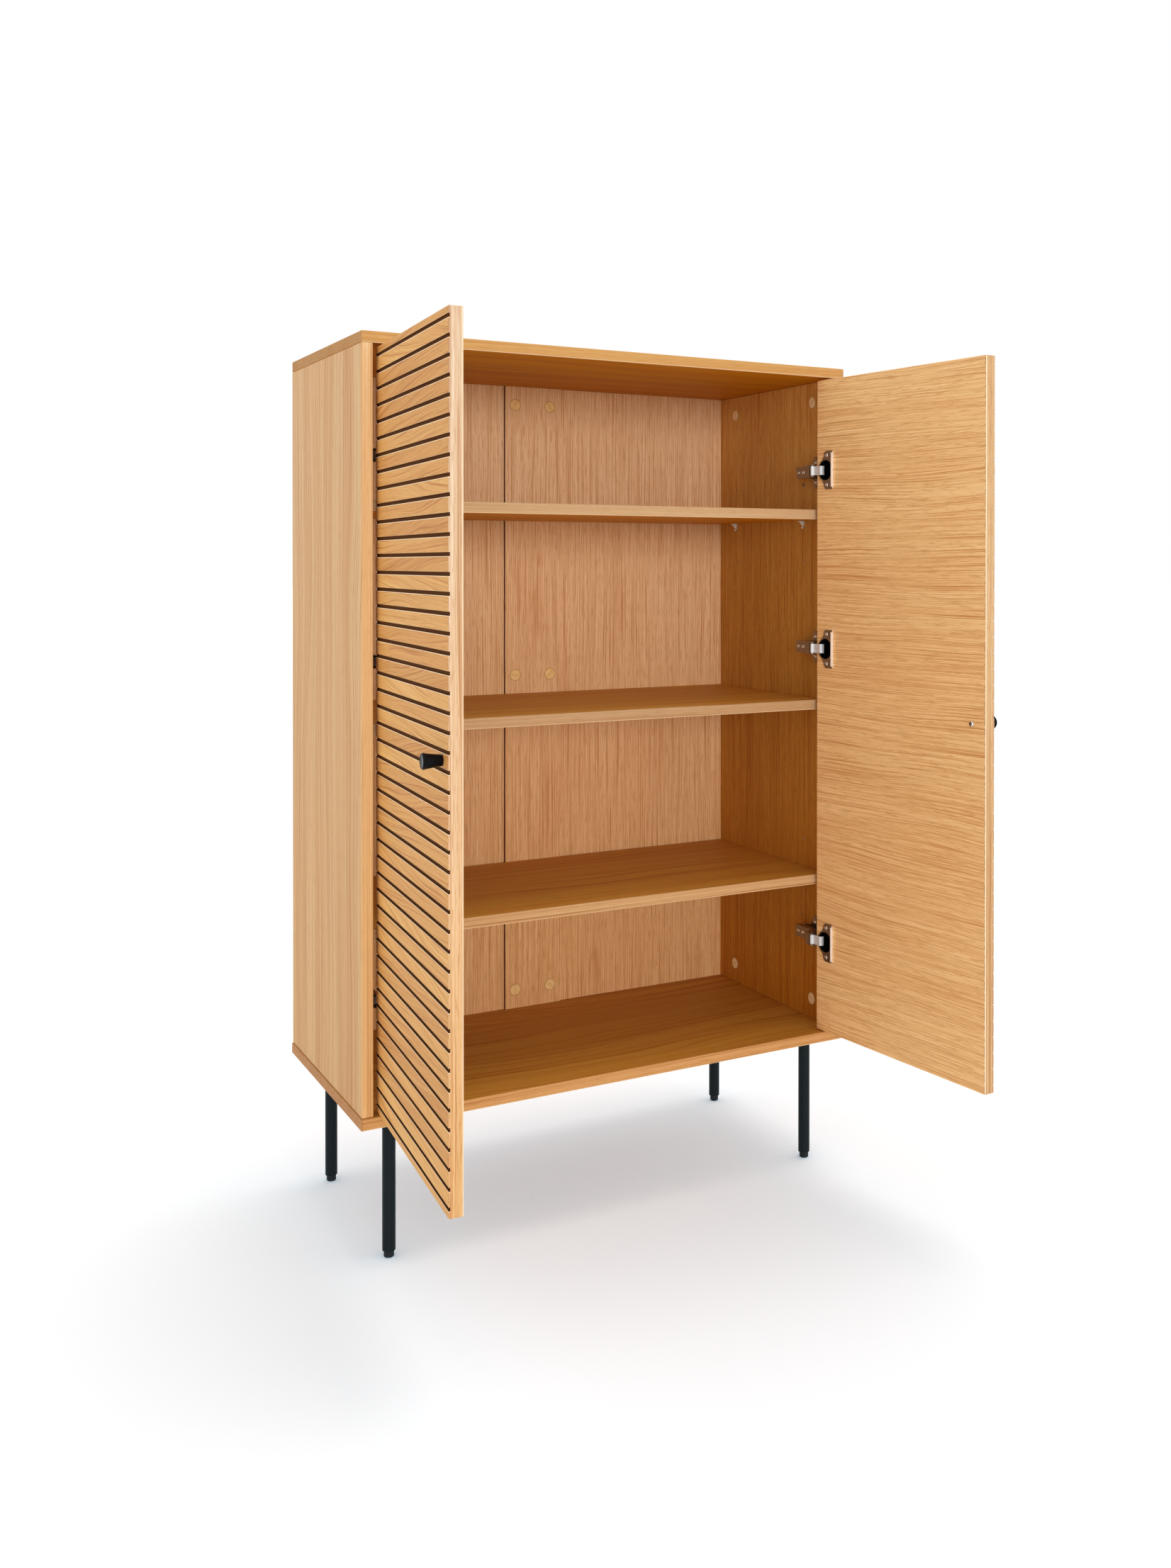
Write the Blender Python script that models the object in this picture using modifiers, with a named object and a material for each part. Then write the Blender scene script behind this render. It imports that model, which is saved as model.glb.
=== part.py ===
"""Oak-veneered highboard on four round black legs, with two grooved doors on concealed hinges.

Metres, +Z up. Seen from the front, +X is to the right and +Y to the back. The origin is on the
floor under the middle of the case. The doors stand open, a little past a right angle.
"""

import math

import bmesh
import bpy

# Case
CASE_WIDTH = 0.800
CASE_DEPTH = 0.380
CASE_HEIGHT = 1.100
BOARD = 0.016
ARRIS = 0.0008
BOTTOM_LIP_FRONT = 0.0028
BOTTOM_LIP_SIDE = 0.0017
SEAT_GAP = 0.0003
OVERRUN = 0.002
WELD = 0.000003

# Back: two thin panels in rebates, and a rail above and below the middle shelf
BACK_PANEL = 0.003
BACK_REBATE_DEPTH = 0.004
BACK_REBATE_WIDTH = 0.007
RAIL_WIDTH = 0.102
RAIL_THICKNESS = 0.0078
RAIL_OFFSET = 0.007

# Shelves
SHELF_SETBACK = 0.0225
SHELF_SIDE_CLEARANCE = 0.001
SHELF_REAR_CLEARANCE = 0.001
MIDDLE_SHELF_RISE = 0.525
LOWER_SHELF_ROW = 0.234
UPPER_SHELF_ROW = 0.834
PIN_ROW_PITCH = 0.064
PIN_FRONT_COLUMN = 0.096
PIN_COLUMN_PITCH = 0.224

# Shelf pins, of clear plastic, and the plug that closes one pin hole
PIN_DIAMETER = 0.005
PIN_LENGTH = 0.008
PIN_HOLE_DEPTH = 0.010
PIN_COLLAR_SIZE = 0.008
PIN_COLLAR_LENGTH = 0.0012
PIN_TONGUE_LENGTH = 0.009
PIN_TONGUE_WIDTH = 0.007
PIN_TONGUE_THICKNESS = 0.0035
PIN_TONGUE_RISE = 0.003
PLUG_FLANGE_DIAMETER = 0.0075
PLUG_FLANGE_THICKNESS = 0.0007

# Doors
DOOR_THICKNESS = 0.018
DOOR_SIDE_GAP = 0.0025
DOOR_CENTRE_GAP = 0.003
DOOR_TOP_GAP = 0.0046
DOOR_BOTTOM_GAP = 0.0024
SLAT_PITCH = 0.0230
GROOVE_WIDTH = 0.0033
GROOVE_DEPTH = 0.0017
GROOVE_EASE = 0.0006
LEFT_DOOR_OPEN = math.radians(94.4)
RIGHT_DOOR_OPEN = math.radians(95.8)

# Knobs
KNOB_FROM_EDGE = 0.0275
KNOB_LENGTH = 0.0245
KNOB_BASE_DIAMETER = 0.0135
KNOB_TIP_DIAMETER = 0.0192
KNOB_BEAD_DIAMETER = 0.0202
KNOB_BEAD_LENGTH = 0.0022
KNOB_NECK_LENGTH = 0.0012
KNOB_DISH = 0.0008
KNOB_SCREW_DIAMETER = 0.004
KNOB_SCREW_REACH = 0.012
KNOB_SCREW_HEAD = 0.0086
KNOB_SCREW_HEAD_HEIGHT = 0.0026

# Legs and levelling feet
LEG_HEIGHT = 0.200
LEG_DIAMETER = 0.0186
LEG_CHAMFER = 0.0008
LEG_INSET_SIDE = 0.050
LEG_INSET_FRONT = 0.040
LEG_STUD_DIAMETER = 0.008
LEG_STUD_LENGTH = 0.011
FOOT_DIAMETER = 0.0146
FOOT_HEIGHT = 0.0086
FOOT_CHAMFER = 0.0012
FOOT_STEM_DIAMETER = 0.008
FOOT_STEM_LENGTH = 0.022

# Concealed hinges. X is measured from the inside of the side panel, Y from the front of the case.
HINGE_AXIS_FROM_EDGE = 0.0102
HINGE_AXIS_FROM_FACE = 0.005
TOP_HINGE_DROP = 0.147
MIDDLE_HINGE_RISE = 0.085
BOTTOM_HINGE_RISE = 0.146
CUP_DIAMETER = 0.035
CUP_DEPTH = 0.0125
CUP_WALL = 0.0009
CUP_FROM_EDGE = 0.0225
FLANGE_THICKNESS = 0.0013
FLANGE_HEIGHT = 0.062
FLANGE_FRONT = 0.0185
FLANGE_LIP_HEIGHT = 0.0044
FLANGE_LIP_THICKNESS = 0.0012
TAB_SCREW_PITCH = 0.048
TAB_SCREW_OFFSET = 0.003
TAB_SCREW_HOLE = 0.0042
TAB_RADIUS = 0.0065
PLATE_THICKNESS = 0.0016
PLATE_SCREW_PITCH = 0.032
PLATE_SCREW_HOLE = 0.0044
PLATE_HEIGHT = 0.054
PLATE_SCREWS_BACK = 0.057
PLATE_FRONT = 0.035
PLATE_REAR = 0.086
PLATE_WING = 0.011
SADDLE_FRONT = 0.042
SADDLE_WIDTH = 0.0135
ARM_WIDTH = 0.019
ARM_WALL = 0.0014
ARM_RISE = 0.020
ARM_DEPTH = 0.0095
ARM_REAR = 0.087
ARM_SCREW_HOLE = 0.0052
ARM_SCREW_PITCH = 0.0145
ARM_CRANK_LENGTH = 0.012
NOSE_RADIUS = 0.0032
LINK_PIVOT_X = 0.033
LINK_PIVOT_Y = 0.019
LINK_PIN_DIAMETER = 0.003
LINK_EYE_RADIUS = 0.003
LINK_HEIGHT = 0.0146
LINK_THICKNESS = 0.0020
LINK_OVER_DOOR = 0.0024
LINK_INTO_CUP = 0.0022
LINK_TIP_CLEARANCE = 0.0056

ROUND_STEPS = 24
SMALL_ROUND_STEPS = 10
SMOOTH_ANGLE = math.radians(35)

# Places that follow from the sizes above
SIDE_INNER = CASE_WIDTH / 2 - BOARD
CASE_FRONT = -CASE_DEPTH / 2
CASE_REAR = CASE_DEPTH / 2
FLOOR_TOP = LEG_HEIGHT + BOARD
CEILING = LEG_HEIGHT + CASE_HEIGHT - BOARD
CASE_TOP = LEG_HEIGHT + CASE_HEIGHT
REBATE_SHOULDER = CASE_REAR - BACK_REBATE_DEPTH
RAIL_FRONT = CASE_REAR - RAIL_THICKNESS
SHELF_FRONT = CASE_FRONT + SHELF_SETBACK
MIDDLE_SHELF_BOTTOM = FLOOR_TOP + MIDDLE_SHELF_RISE
MIDDLE_SHELF_TOP = MIDDLE_SHELF_BOTTOM + BOARD
DOOR_BOTTOM = FLOOR_TOP + DOOR_BOTTOM_GAP
DOOR_TOP = CEILING - DOOR_TOP_GAP
DOOR_WIDTH = SIDE_INNER - DOOR_SIDE_GAP - DOOR_CENTRE_GAP / 2
DOOR_MIDDLE = (DOOR_BOTTOM + DOOR_TOP) / 2
HINGE_HEIGHTS = {
    "top": DOOR_TOP - TOP_HINGE_DROP,
    "middle": MIDDLE_SHELF_TOP + MIDDLE_HINGE_RISE,
    "bottom": DOOR_BOTTOM + BOTTOM_HINGE_RISE,
}
SIDES = {"left": -1, "right": 1}
OPEN_ANGLES = {"left": LEFT_DOOR_OPEN, "right": RIGHT_DOOR_OPEN}


# Scene, materials and groups

def clear_scene():
    for old in list(bpy.data.objects):
        bpy.data.objects.remove(old, do_unlink=True)


def new_group(name, is_helper=False):
    group = bpy.data.collections.new(name)
    group.hide_render = is_helper
    bpy.context.scene.collection.children.link(group)
    return group


def new_material(name, colour, roughness, metallic=0.0, alpha=1.0):
    finish = bpy.data.materials.new(name)
    finish.use_nodes = True
    shader = finish.node_tree.nodes["Principled BSDF"]
    shader.inputs["Base Color"].default_value = (*colour, 1.0)
    shader.inputs["Roughness"].default_value = roughness
    shader.inputs["Metallic"].default_value = metallic
    shader.inputs["Alpha"].default_value = alpha
    finish.diffuse_color = (*colour, alpha)
    return finish


clear_scene()
PARTS = new_group("highboard")
CUTTERS = new_group("highboard_cutters", is_helper=True)


# Helpers that turn modelling steps into named objects

def add_object(name, mesh, finish=None, group=None, parent=None):
    body = bpy.data.objects.new(name, mesh)
    (group or PARTS).objects.link(body)
    body.parent = parent
    if finish:
        mesh.materials.clear()
        mesh.materials.append(finish)
    return body


def mesh_from_bmesh(name, work):
    bmesh.ops.recalc_face_normals(work, faces=work.faces)
    mesh = bpy.data.meshes.new(name)
    work.to_mesh(mesh)
    work.free()
    return mesh


def box_mesh(name, size):
    work = bmesh.new()
    bmesh.ops.create_cube(work, size=1.0)
    bmesh.ops.scale(work, vec=size, verts=work.verts)
    return mesh_from_bmesh(name, work)


def box(name, low, high, finish=None, group=None, parent=None, ease=ARRIS):
    """A board between two corners, with its edges eased."""
    size = [b - a for a, b in zip(low, high)]
    body = add_object(name, box_mesh(name, size), finish, group, parent)
    body.location = [(a + b) / 2 for a, b in zip(low, high)]
    if ease:
        add_bevel(body, ease)
    return body


def cylinder(name, radius, depth, group=None, parent=None, steps=ROUND_STEPS):
    work = bmesh.new()
    bmesh.ops.create_cone(
        work, cap_ends=True, segments=steps, radius1=radius, radius2=radius, depth=depth
    )
    return add_object(name, mesh_from_bmesh(name, work), None, group, parent)


def add_bevel(body, width, segments=1):
    bevel = body.modifiers.new("eased_edges", "BEVEL")
    bevel.width = width
    bevel.segments = segments
    bevel.limit_method = "ANGLE"
    bevel.angle_limit = math.radians(50)
    return bevel


def as_helper(body):
    body.hide_render = True
    body.display_type = "WIRE"
    return body


def boolean(body, other, operation):
    step = body.modifiers.new(operation.lower() + "_" + other.name, "BOOLEAN")
    step.operation = operation
    step.object = as_helper(other)
    return step


def cut(body, other):
    return boolean(body, other, "DIFFERENCE")


def join(body, other):
    return boolean(body, other, "UNION")


def evaluated_mesh(body, name):
    """The mesh of an object with its modifiers, welded where a curve's caps are loose."""
    bpy.context.view_layer.update()
    graph = bpy.context.evaluated_depsgraph_get()
    mesh = bpy.data.meshes.new_from_object(body.evaluated_get(graph))
    mesh.name = name
    work = bmesh.new()
    work.from_mesh(mesh)
    bmesh.ops.remove_doubles(work, verts=work.verts, dist=WELD)
    bmesh.ops.recalc_face_normals(work, faces=work.faces)
    work.to_mesh(mesh)
    work.free()
    return mesh


def outline_body(name, outlines, thickness, finish=None, group=None, parent=None):
    """A flat piece of the given thickness; outlines after the first are its holes."""
    curve = bpy.data.curves.new(name, "CURVE")
    curve.dimensions = "2D"
    curve.fill_mode = "BOTH"
    curve.extrude = thickness / 2
    for points in outlines:
        spline = curve.splines.new("POLY")
        spline.points.add(len(points) - 1)
        for point, (x, y) in zip(spline.points, points):
            point.co = (x, y, 0, 1)
        spline.use_cyclic_u = True
    drawn = bpy.data.objects.new(name, curve)
    CUTTERS.objects.link(drawn)
    mesh = evaluated_mesh(drawn, name)
    bpy.data.objects.remove(drawn, do_unlink=True)
    return add_object(name, mesh, finish, group, parent)


def turned_body(name, profile, finish=None, parent=None, steps=ROUND_STEPS):
    """A profile of (radius, height) points turned about Z. Its outer side runs downwards."""
    mesh = bpy.data.meshes.new(name)
    points = [(radius, 0, height) for radius, height in profile]
    edges = [(k, k + 1) for k in range(len(points) - 1)]
    if profile[0][0] > 0:
        edges.append((len(points) - 1, 0))
    mesh.from_pydata(points, edges, [])
    body = add_object(name, mesh, finish, None, parent)
    screw = body.modifiers.new("turned", "SCREW")
    screw.axis = "Z"
    screw.steps = steps
    screw.render_steps = steps
    screw.use_merge_vertices = True
    screw.merge_threshold = WELD
    screw.use_smooth_shade = False
    return body


def smooth_shape(mesh):
    mesh.shade_smooth()
    mesh.set_sharp_from_angle(angle=SMOOTH_ANGLE)


def shared_mesh(body, name):
    """Applies a master object's modifiers, so that copies can share the finished mesh."""
    mesh = evaluated_mesh(body, name)
    smooth_shape(mesh)
    bpy.data.objects.remove(body, do_unlink=True)
    return mesh


def arc(centre, radius, start, end, steps):
    """Points along an arc, from one angle in degrees to another."""
    turns = [math.radians(start + (end - start) * k / steps) for k in range(steps + 1)]
    return [(centre[0] + radius * math.cos(a), centre[1] + radius * math.sin(a)) for a in turns]


def circle(centre, radius):
    return arc(centre, radius, 0, 360, SMALL_ROUND_STEPS)[:-1]


def mirrored_outline(points):
    """An outline from its half at +Y, in order, with the other half mirrored below."""
    return points + [(x, -y) for x, y in reversed(points)]


def strip_outline(path, thickness):
    """The outline of a bent strip: its path, offset to both sides with mitred bends."""
    half = thickness / 2
    sides = ([], [])
    for k, (x, y) in enumerate(path):
        before = path[max(k - 1, 0)]
        after = path[min(k + 1, len(path) - 1)]
        first = math.atan2(y - before[1], x - before[0]) if k else None
        second = math.atan2(after[1] - y, after[0] - x) if k < len(path) - 1 else None
        first = second if first is None else first
        second = first if second is None else second
        bend = math.remainder(second - first, math.tau)
        heading = first + bend / 2
        reach = half / math.cos(bend / 2)
        sides[0].append((x - reach * math.sin(heading), y + reach * math.cos(heading)))
        sides[1].append((x + reach * math.sin(heading), y - reach * math.cos(heading)))
    return sides[0] + sides[1][::-1]


# Finishes

OAK = new_material("oak_veneer", (0.56, 0.33, 0.16), 0.5)
OAK_DOOR = new_material("oak_door", (0.60, 0.36, 0.17), 0.5)
OAK_INSIDE = new_material("oak_back", (0.50, 0.29, 0.15), 0.55)
BLACK_METAL = new_material("black_powder_coat", (0.012, 0.016, 0.02), 0.45, 0.3)
BLACK_PLASTIC = new_material("black_plastic", (0.015, 0.017, 0.02), 0.5)
STEEL = new_material("nickel_steel", (0.55, 0.54, 0.52), 0.25, 1.0)
CLEAR = new_material("clear_plastic", (0.85, 0.87, 0.88), 0.1, 0.0, 0.4)
GREY = new_material("grey_plastic", (0.30, 0.29, 0.27), 0.5)


# Case boards

def pin_hole_cutter(side, name):
    """All the shelf-pin holes of one side panel: two columns of three rows for each shelf."""
    reach = PIN_HOLE_DEPTH + OVERRUN
    work = bmesh.new()
    for row in pin_rows():
        for y in pin_columns():
            made = bmesh.ops.create_cone(
                work,
                cap_ends=True,
                segments=SMALL_ROUND_STEPS,
                radius1=PIN_DIAMETER / 2 + SEAT_GAP,
                radius2=PIN_DIAMETER / 2 + SEAT_GAP,
                depth=reach,
            )
            turn_to_x(made["verts"])
            middle = side * (SIDE_INNER + PIN_HOLE_DEPTH - reach / 2)
            bmesh.ops.translate(work, vec=(middle, y, row), verts=made["verts"])
    return add_object(name, mesh_from_bmesh(name, work), None, CUTTERS)


def turn_to_x(points):
    """Lays what was made along Z along X."""
    for point in points:
        x, y, z = point.co
        point.co = (z, y, -x)


def pin_rows():
    return [
        FLOOR_TOP + row + step * PIN_ROW_PITCH
        for row in (LOWER_SHELF_ROW, UPPER_SHELF_ROW)
        for step in (-1, 0, 1)
    ]


def pin_columns():
    front = CASE_FRONT + PIN_FRONT_COLUMN
    return (front, front + PIN_COLUMN_PITCH)


def make_side_panel(label, side):
    faces = sorted((side * SIDE_INNER, side * CASE_WIDTH / 2))
    panel = box(
        label + "_side_panel",
        (faces[0], CASE_FRONT, FLOOR_TOP + SEAT_GAP),
        (faces[1], CASE_REAR, CEILING - SEAT_GAP),
        OAK,
    )
    rebate = sorted(
        (side * (SIDE_INNER - OVERRUN), side * (SIDE_INNER + BACK_REBATE_WIDTH + SEAT_GAP))
    )
    groove = box(
        label + "_side_rebate",
        (rebate[0], REBATE_SHOULDER, LEG_HEIGHT),
        (rebate[1], CASE_REAR + OVERRUN, CASE_TOP),
        group=CUTTERS,
        ease=0,
    )
    cut(panel, groove)
    cut(panel, pin_hole_cutter(side, label + "_pin_holes"))
    return panel


def make_bottom_panel():
    half = CASE_WIDTH / 2 + BOTTOM_LIP_SIDE
    panel = box(
        "bottom_panel",
        (-half, CASE_FRONT - BOTTOM_LIP_FRONT, LEG_HEIGHT),
        (half, CASE_REAR, FLOOR_TOP),
        OAK,
    )
    for label, x, y in leg_places():
        hole = cylinder(
            label + "_stud_hole",
            LEG_STUD_DIAMETER / 2 + SEAT_GAP,
            2 * (LEG_STUD_LENGTH + SEAT_GAP),
            CUTTERS,
            steps=SMALL_ROUND_STEPS,
        )
        hole.location = (x, y, LEG_HEIGHT)
        cut(panel, hole)
    return panel


def make_case():
    box(
        "top_panel",
        (-CASE_WIDTH / 2, CASE_FRONT, CEILING),
        (CASE_WIDTH / 2, CASE_REAR, CASE_TOP),
        OAK,
    )
    make_bottom_panel()
    for label, side in SIDES.items():
        make_side_panel(label, side)
    box(
        "middle_shelf",
        (-SIDE_INNER + SEAT_GAP, SHELF_FRONT, MIDDLE_SHELF_BOTTOM),
        (SIDE_INNER - SEAT_GAP, REBATE_SHOULDER, MIDDLE_SHELF_TOP),
        OAK,
    )
    half = SIDE_INNER - SHELF_SIDE_CLEARANCE
    for label, row in (("lower", LOWER_SHELF_ROW), ("upper", UPPER_SHELF_ROW)):
        bottom = FLOOR_TOP + row + PIN_TONGUE_RISE + SEAT_GAP
        box(
            label + "_shelf",
            (-half, SHELF_FRONT, bottom),
            (half, RAIL_FRONT - SHELF_REAR_CLEARANCE, bottom + BOARD),
            OAK,
        )


# Back

def make_rail(label, bottom, top):
    """A board with a rebate down each rear edge, which the back panels lie in."""
    rail = box(
        label + "_back_rail",
        (RAIL_OFFSET - RAIL_WIDTH / 2, RAIL_FRONT, bottom + SEAT_GAP),
        (RAIL_OFFSET + RAIL_WIDTH / 2, CASE_REAR, top - SEAT_GAP),
        OAK_INSIDE,
        ease=0,
    )
    for side in (-1, 1):
        edge = RAIL_OFFSET + side * RAIL_WIDTH / 2
        across = sorted((edge + side * OVERRUN, edge - side * (BACK_REBATE_WIDTH + SEAT_GAP)))
        notch = box(
            label + "_rail_rebate_" + str(side + 1),
            (across[0], REBATE_SHOULDER, bottom),
            (across[1], CASE_REAR + OVERRUN, top),
            group=CUTTERS,
            ease=0,
        )
        cut(rail, notch)


def make_back():
    make_rail("lower", FLOOR_TOP, MIDDLE_SHELF_BOTTOM)
    make_rail("upper", MIDDLE_SHELF_TOP, CEILING)
    for label, side in SIDES.items():
        outer = side * (SIDE_INNER + BACK_REBATE_WIDTH)
        inner = RAIL_OFFSET + side * (RAIL_WIDTH / 2 - BACK_REBATE_WIDTH)
        ends = sorted((outer, inner))
        front = REBATE_SHOULDER + SEAT_GAP
        box(
            label + "_back_panel",
            (ends[0], front, FLOOR_TOP + SEAT_GAP),
            (ends[1], front + BACK_PANEL, CEILING - SEAT_GAP),
            OAK_INSIDE,
            ease=0,
        )


# Shelf pins and plug

def pin_mesh():
    """A shelf pin along X: its round end goes into the hole at +X, its tongue is under the shelf."""
    length = PIN_LENGTH + PIN_COLLAR_LENGTH
    radius = PIN_DIAMETER / 2
    body = turned_body(
        "pin_master",
        [
            (0, length),
            (radius, length),
            (radius, PIN_COLLAR_LENGTH / 2),
            (0, PIN_COLLAR_LENGTH / 2),
        ],
        CLEAR,
        steps=SMALL_ROUND_STEPS,
    )
    collar = box(
        "pin_collar",
        (SEAT_GAP - PIN_TONGUE_RISE, -PIN_COLLAR_SIZE / 2, 0),
        (PIN_COLLAR_SIZE - PIN_TONGUE_RISE, PIN_COLLAR_SIZE / 2, PIN_COLLAR_LENGTH),
        group=CUTTERS,
        ease=0,
    )
    tongue = box(
        "pin_tongue",
        (-PIN_TONGUE_RISE, -PIN_TONGUE_WIDTH / 2, -PIN_TONGUE_LENGTH),
        (PIN_TONGUE_THICKNESS - PIN_TONGUE_RISE, PIN_TONGUE_WIDTH / 2, PIN_COLLAR_LENGTH / 2),
        group=CUTTERS,
        ease=0,
    )
    join(body, collar)
    join(body, tongue)
    mesh = shared_mesh(body, "shelf_pin")
    work = bmesh.new()
    work.from_mesh(mesh)
    turn_to_x(work.verts)
    work.to_mesh(mesh)
    work.free()
    return mesh


def make_shelf_pins():
    mesh = pin_mesh()
    for level, row in (("lower", LOWER_SHELF_ROW), ("upper", UPPER_SHELF_ROW)):
        for depth, y in zip(("front", "rear"), pin_columns()):
            for label, side in SIDES.items():
                pin = add_object("_".join((level, depth, label, "shelf_pin")), mesh)
                reach = SIDE_INNER - PIN_COLLAR_LENGTH - SEAT_GAP
                pin.location = (side * reach, y, FLOOR_TOP + row)
                pin.rotation_euler = (0, 0, 0 if side > 0 else math.pi)


def make_hole_plug():
    """The plug sits in the topmost front hole of the right side panel."""
    stem = PIN_HOLE_DEPTH / 2
    plug = turned_body(
        "hole_plug",
        [
            (0, PLUG_FLANGE_THICKNESS),
            (PIN_DIAMETER / 2, PLUG_FLANGE_THICKNESS),
            (PLUG_FLANGE_DIAMETER / 2, 0),
            (PIN_DIAMETER / 2, 0),
            (PIN_DIAMETER / 2, -stem),
            (0, -stem),
        ],
        GREY,
        steps=SMALL_ROUND_STEPS,
    )
    plug.location = (SIDE_INNER - SEAT_GAP, pin_columns()[0], pin_rows()[-1])
    plug.rotation_euler = (0, -math.pi / 2, 0)


# Legs and levelling feet

def leg_places():
    x = CASE_WIDTH / 2 - LEG_INSET_SIDE
    y = CASE_DEPTH / 2 - LEG_INSET_FRONT
    return [
        (depth + "_" + label, side * x, way * y)
        for depth, way in (("front", -1), ("rear", 1))
        for label, side in SIDES.items()
    ]


def make_legs():
    """Tubes with a stud in the bottom panel; each foot's stem slides in its leg."""
    radius = LEG_DIAMETER / 2
    top = LEG_HEIGHT - SEAT_GAP
    bottom = FOOT_HEIGHT + SEAT_GAP
    stud_top = LEG_HEIGHT + LEG_STUD_LENGTH - SEAT_GAP
    stem = FOOT_STEM_DIAMETER / 2
    bore = stem + SEAT_GAP
    bore_top = FOOT_HEIGHT + FOOT_STEM_LENGTH + SEAT_GAP
    for label, x, y in leg_places():
        leg = turned_body(
            label + "_leg",
            [
                (0, stud_top),
                (LEG_STUD_DIAMETER / 2, stud_top),
                (LEG_STUD_DIAMETER / 2, top),
                (radius, top),
                (radius, bottom + LEG_CHAMFER),
                (radius - LEG_CHAMFER, bottom),
                (bore, bottom),
                (bore, bore_top),
                (0, bore_top),
            ],
            BLACK_METAL,
        )
        leg.location = (x, y, 0)
        smooth_shape(leg.data)
        foot = turned_body(
            label + "_levelling_foot",
            [
                (0, FOOT_HEIGHT + FOOT_STEM_LENGTH),
                (stem, FOOT_HEIGHT + FOOT_STEM_LENGTH),
                (stem, FOOT_HEIGHT),
                (FOOT_DIAMETER / 2, FOOT_HEIGHT),
                (FOOT_DIAMETER / 2, FOOT_CHAMFER),
                (FOOT_DIAMETER / 2 - FOOT_CHAMFER, 0),
                (0, 0),
            ],
            BLACK_PLASTIC,
        )
        foot.location = (x, y, 0)


# Doors

def door_place(side, along, out):
    """Where a point of a door lies from its joint axis, with the door closed.

    along is measured from the hinge edge, out from the inner face into the case.
    """
    return (
        -side * (along - HINGE_AXIS_FROM_EDGE),
        DOOR_THICKNESS - HINGE_AXIS_FROM_FACE + out,
    )


def make_door_axis(label, side):
    axis = bpy.data.objects.new(label + "_door_axis", None)
    PARTS.objects.link(axis)
    axis.location = (
        side * (SIDE_INNER - DOOR_SIDE_GAP - HINGE_AXIS_FROM_EDGE),
        CASE_FRONT + HINGE_AXIS_FROM_FACE,
        0,
    )
    axis.rotation_euler = (0, 0, side * OPEN_ANGLES[label])
    return axis


def groove_comb(label, side, axis):
    """One groove's section, repeated up the door, with eased mouths."""
    height = DOOR_TOP - DOOR_BOTTOM
    count = round(height / SLAT_PITCH)
    pitch = height / count
    half = GROOVE_WIDTH / 2
    floor = GROOVE_DEPTH
    flare = half + GROOVE_EASE + OVERRUN
    outline = [
        (-OVERRUN, flare),
        (GROOVE_EASE, half),
        (floor, half),
        (floor, -half),
        (GROOVE_EASE, -half),
        (-OVERRUN, -flare),
    ]
    comb = outline_body(
        label + "_door_grooves", [outline], DOOR_WIDTH + 2 * OVERRUN, None, CUTTERS, axis
    )
    x, y = door_place(side, DOOR_WIDTH / 2, -DOOR_THICKNESS)
    comb.location = (x, y, DOOR_BOTTOM + pitch / 2)
    comb.rotation_euler = (math.pi / 2, 0, math.pi / 2)
    rows = comb.modifiers.new("rows", "ARRAY")
    rows.count = count
    rows.use_relative_offset = False
    rows.use_constant_offset = True
    rows.constant_offset_displace = (0, pitch, 0)
    return comb


def make_door(label, side):
    axis = make_door_axis(label, side)
    near = door_place(side, 0, -DOOR_THICKNESS)
    far = door_place(side, DOOR_WIDTH, 0)
    across = sorted((near[0], far[0]))
    door = box(
        label + "_door",
        (across[0], near[1], DOOR_BOTTOM),
        (across[1], far[1], DOOR_TOP),
        OAK_DOOR,
        parent=axis,
    )
    cut(door, groove_comb(label, side, axis))
    cup_x, face_y = door_place(side, CUP_FROM_EDGE, 0)
    depth = CUP_DEPTH + SEAT_GAP
    for level, height in HINGE_HEIGHTS.items():
        bore = cylinder(
            "_".join((label, level, "cup_bore")),
            CUP_DIAMETER / 2 + SEAT_GAP,
            2 * depth,
            CUTTERS,
            axis,
        )
        bore.location = (cup_x, face_y, height)
        bore.rotation_euler = (math.pi / 2, 0, 0)
        cut(door, bore)
    knob_x, face_y = door_place(side, DOOR_WIDTH - KNOB_FROM_EDGE, -DOOR_THICKNESS / 2)
    hole = cylinder(
        label + "_knob_hole",
        KNOB_SCREW_DIAMETER / 2 + SEAT_GAP,
        DOOR_THICKNESS + 2 * OVERRUN,
        CUTTERS,
        axis,
        SMALL_ROUND_STEPS,
    )
    hole.location = (knob_x, face_y, DOOR_MIDDLE)
    hole.rotation_euler = (math.pi / 2, 0, 0)
    cut(door, hole)
    make_knob(label, side, axis)
    make_knob_screw(label, side, axis)
    return axis


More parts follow.
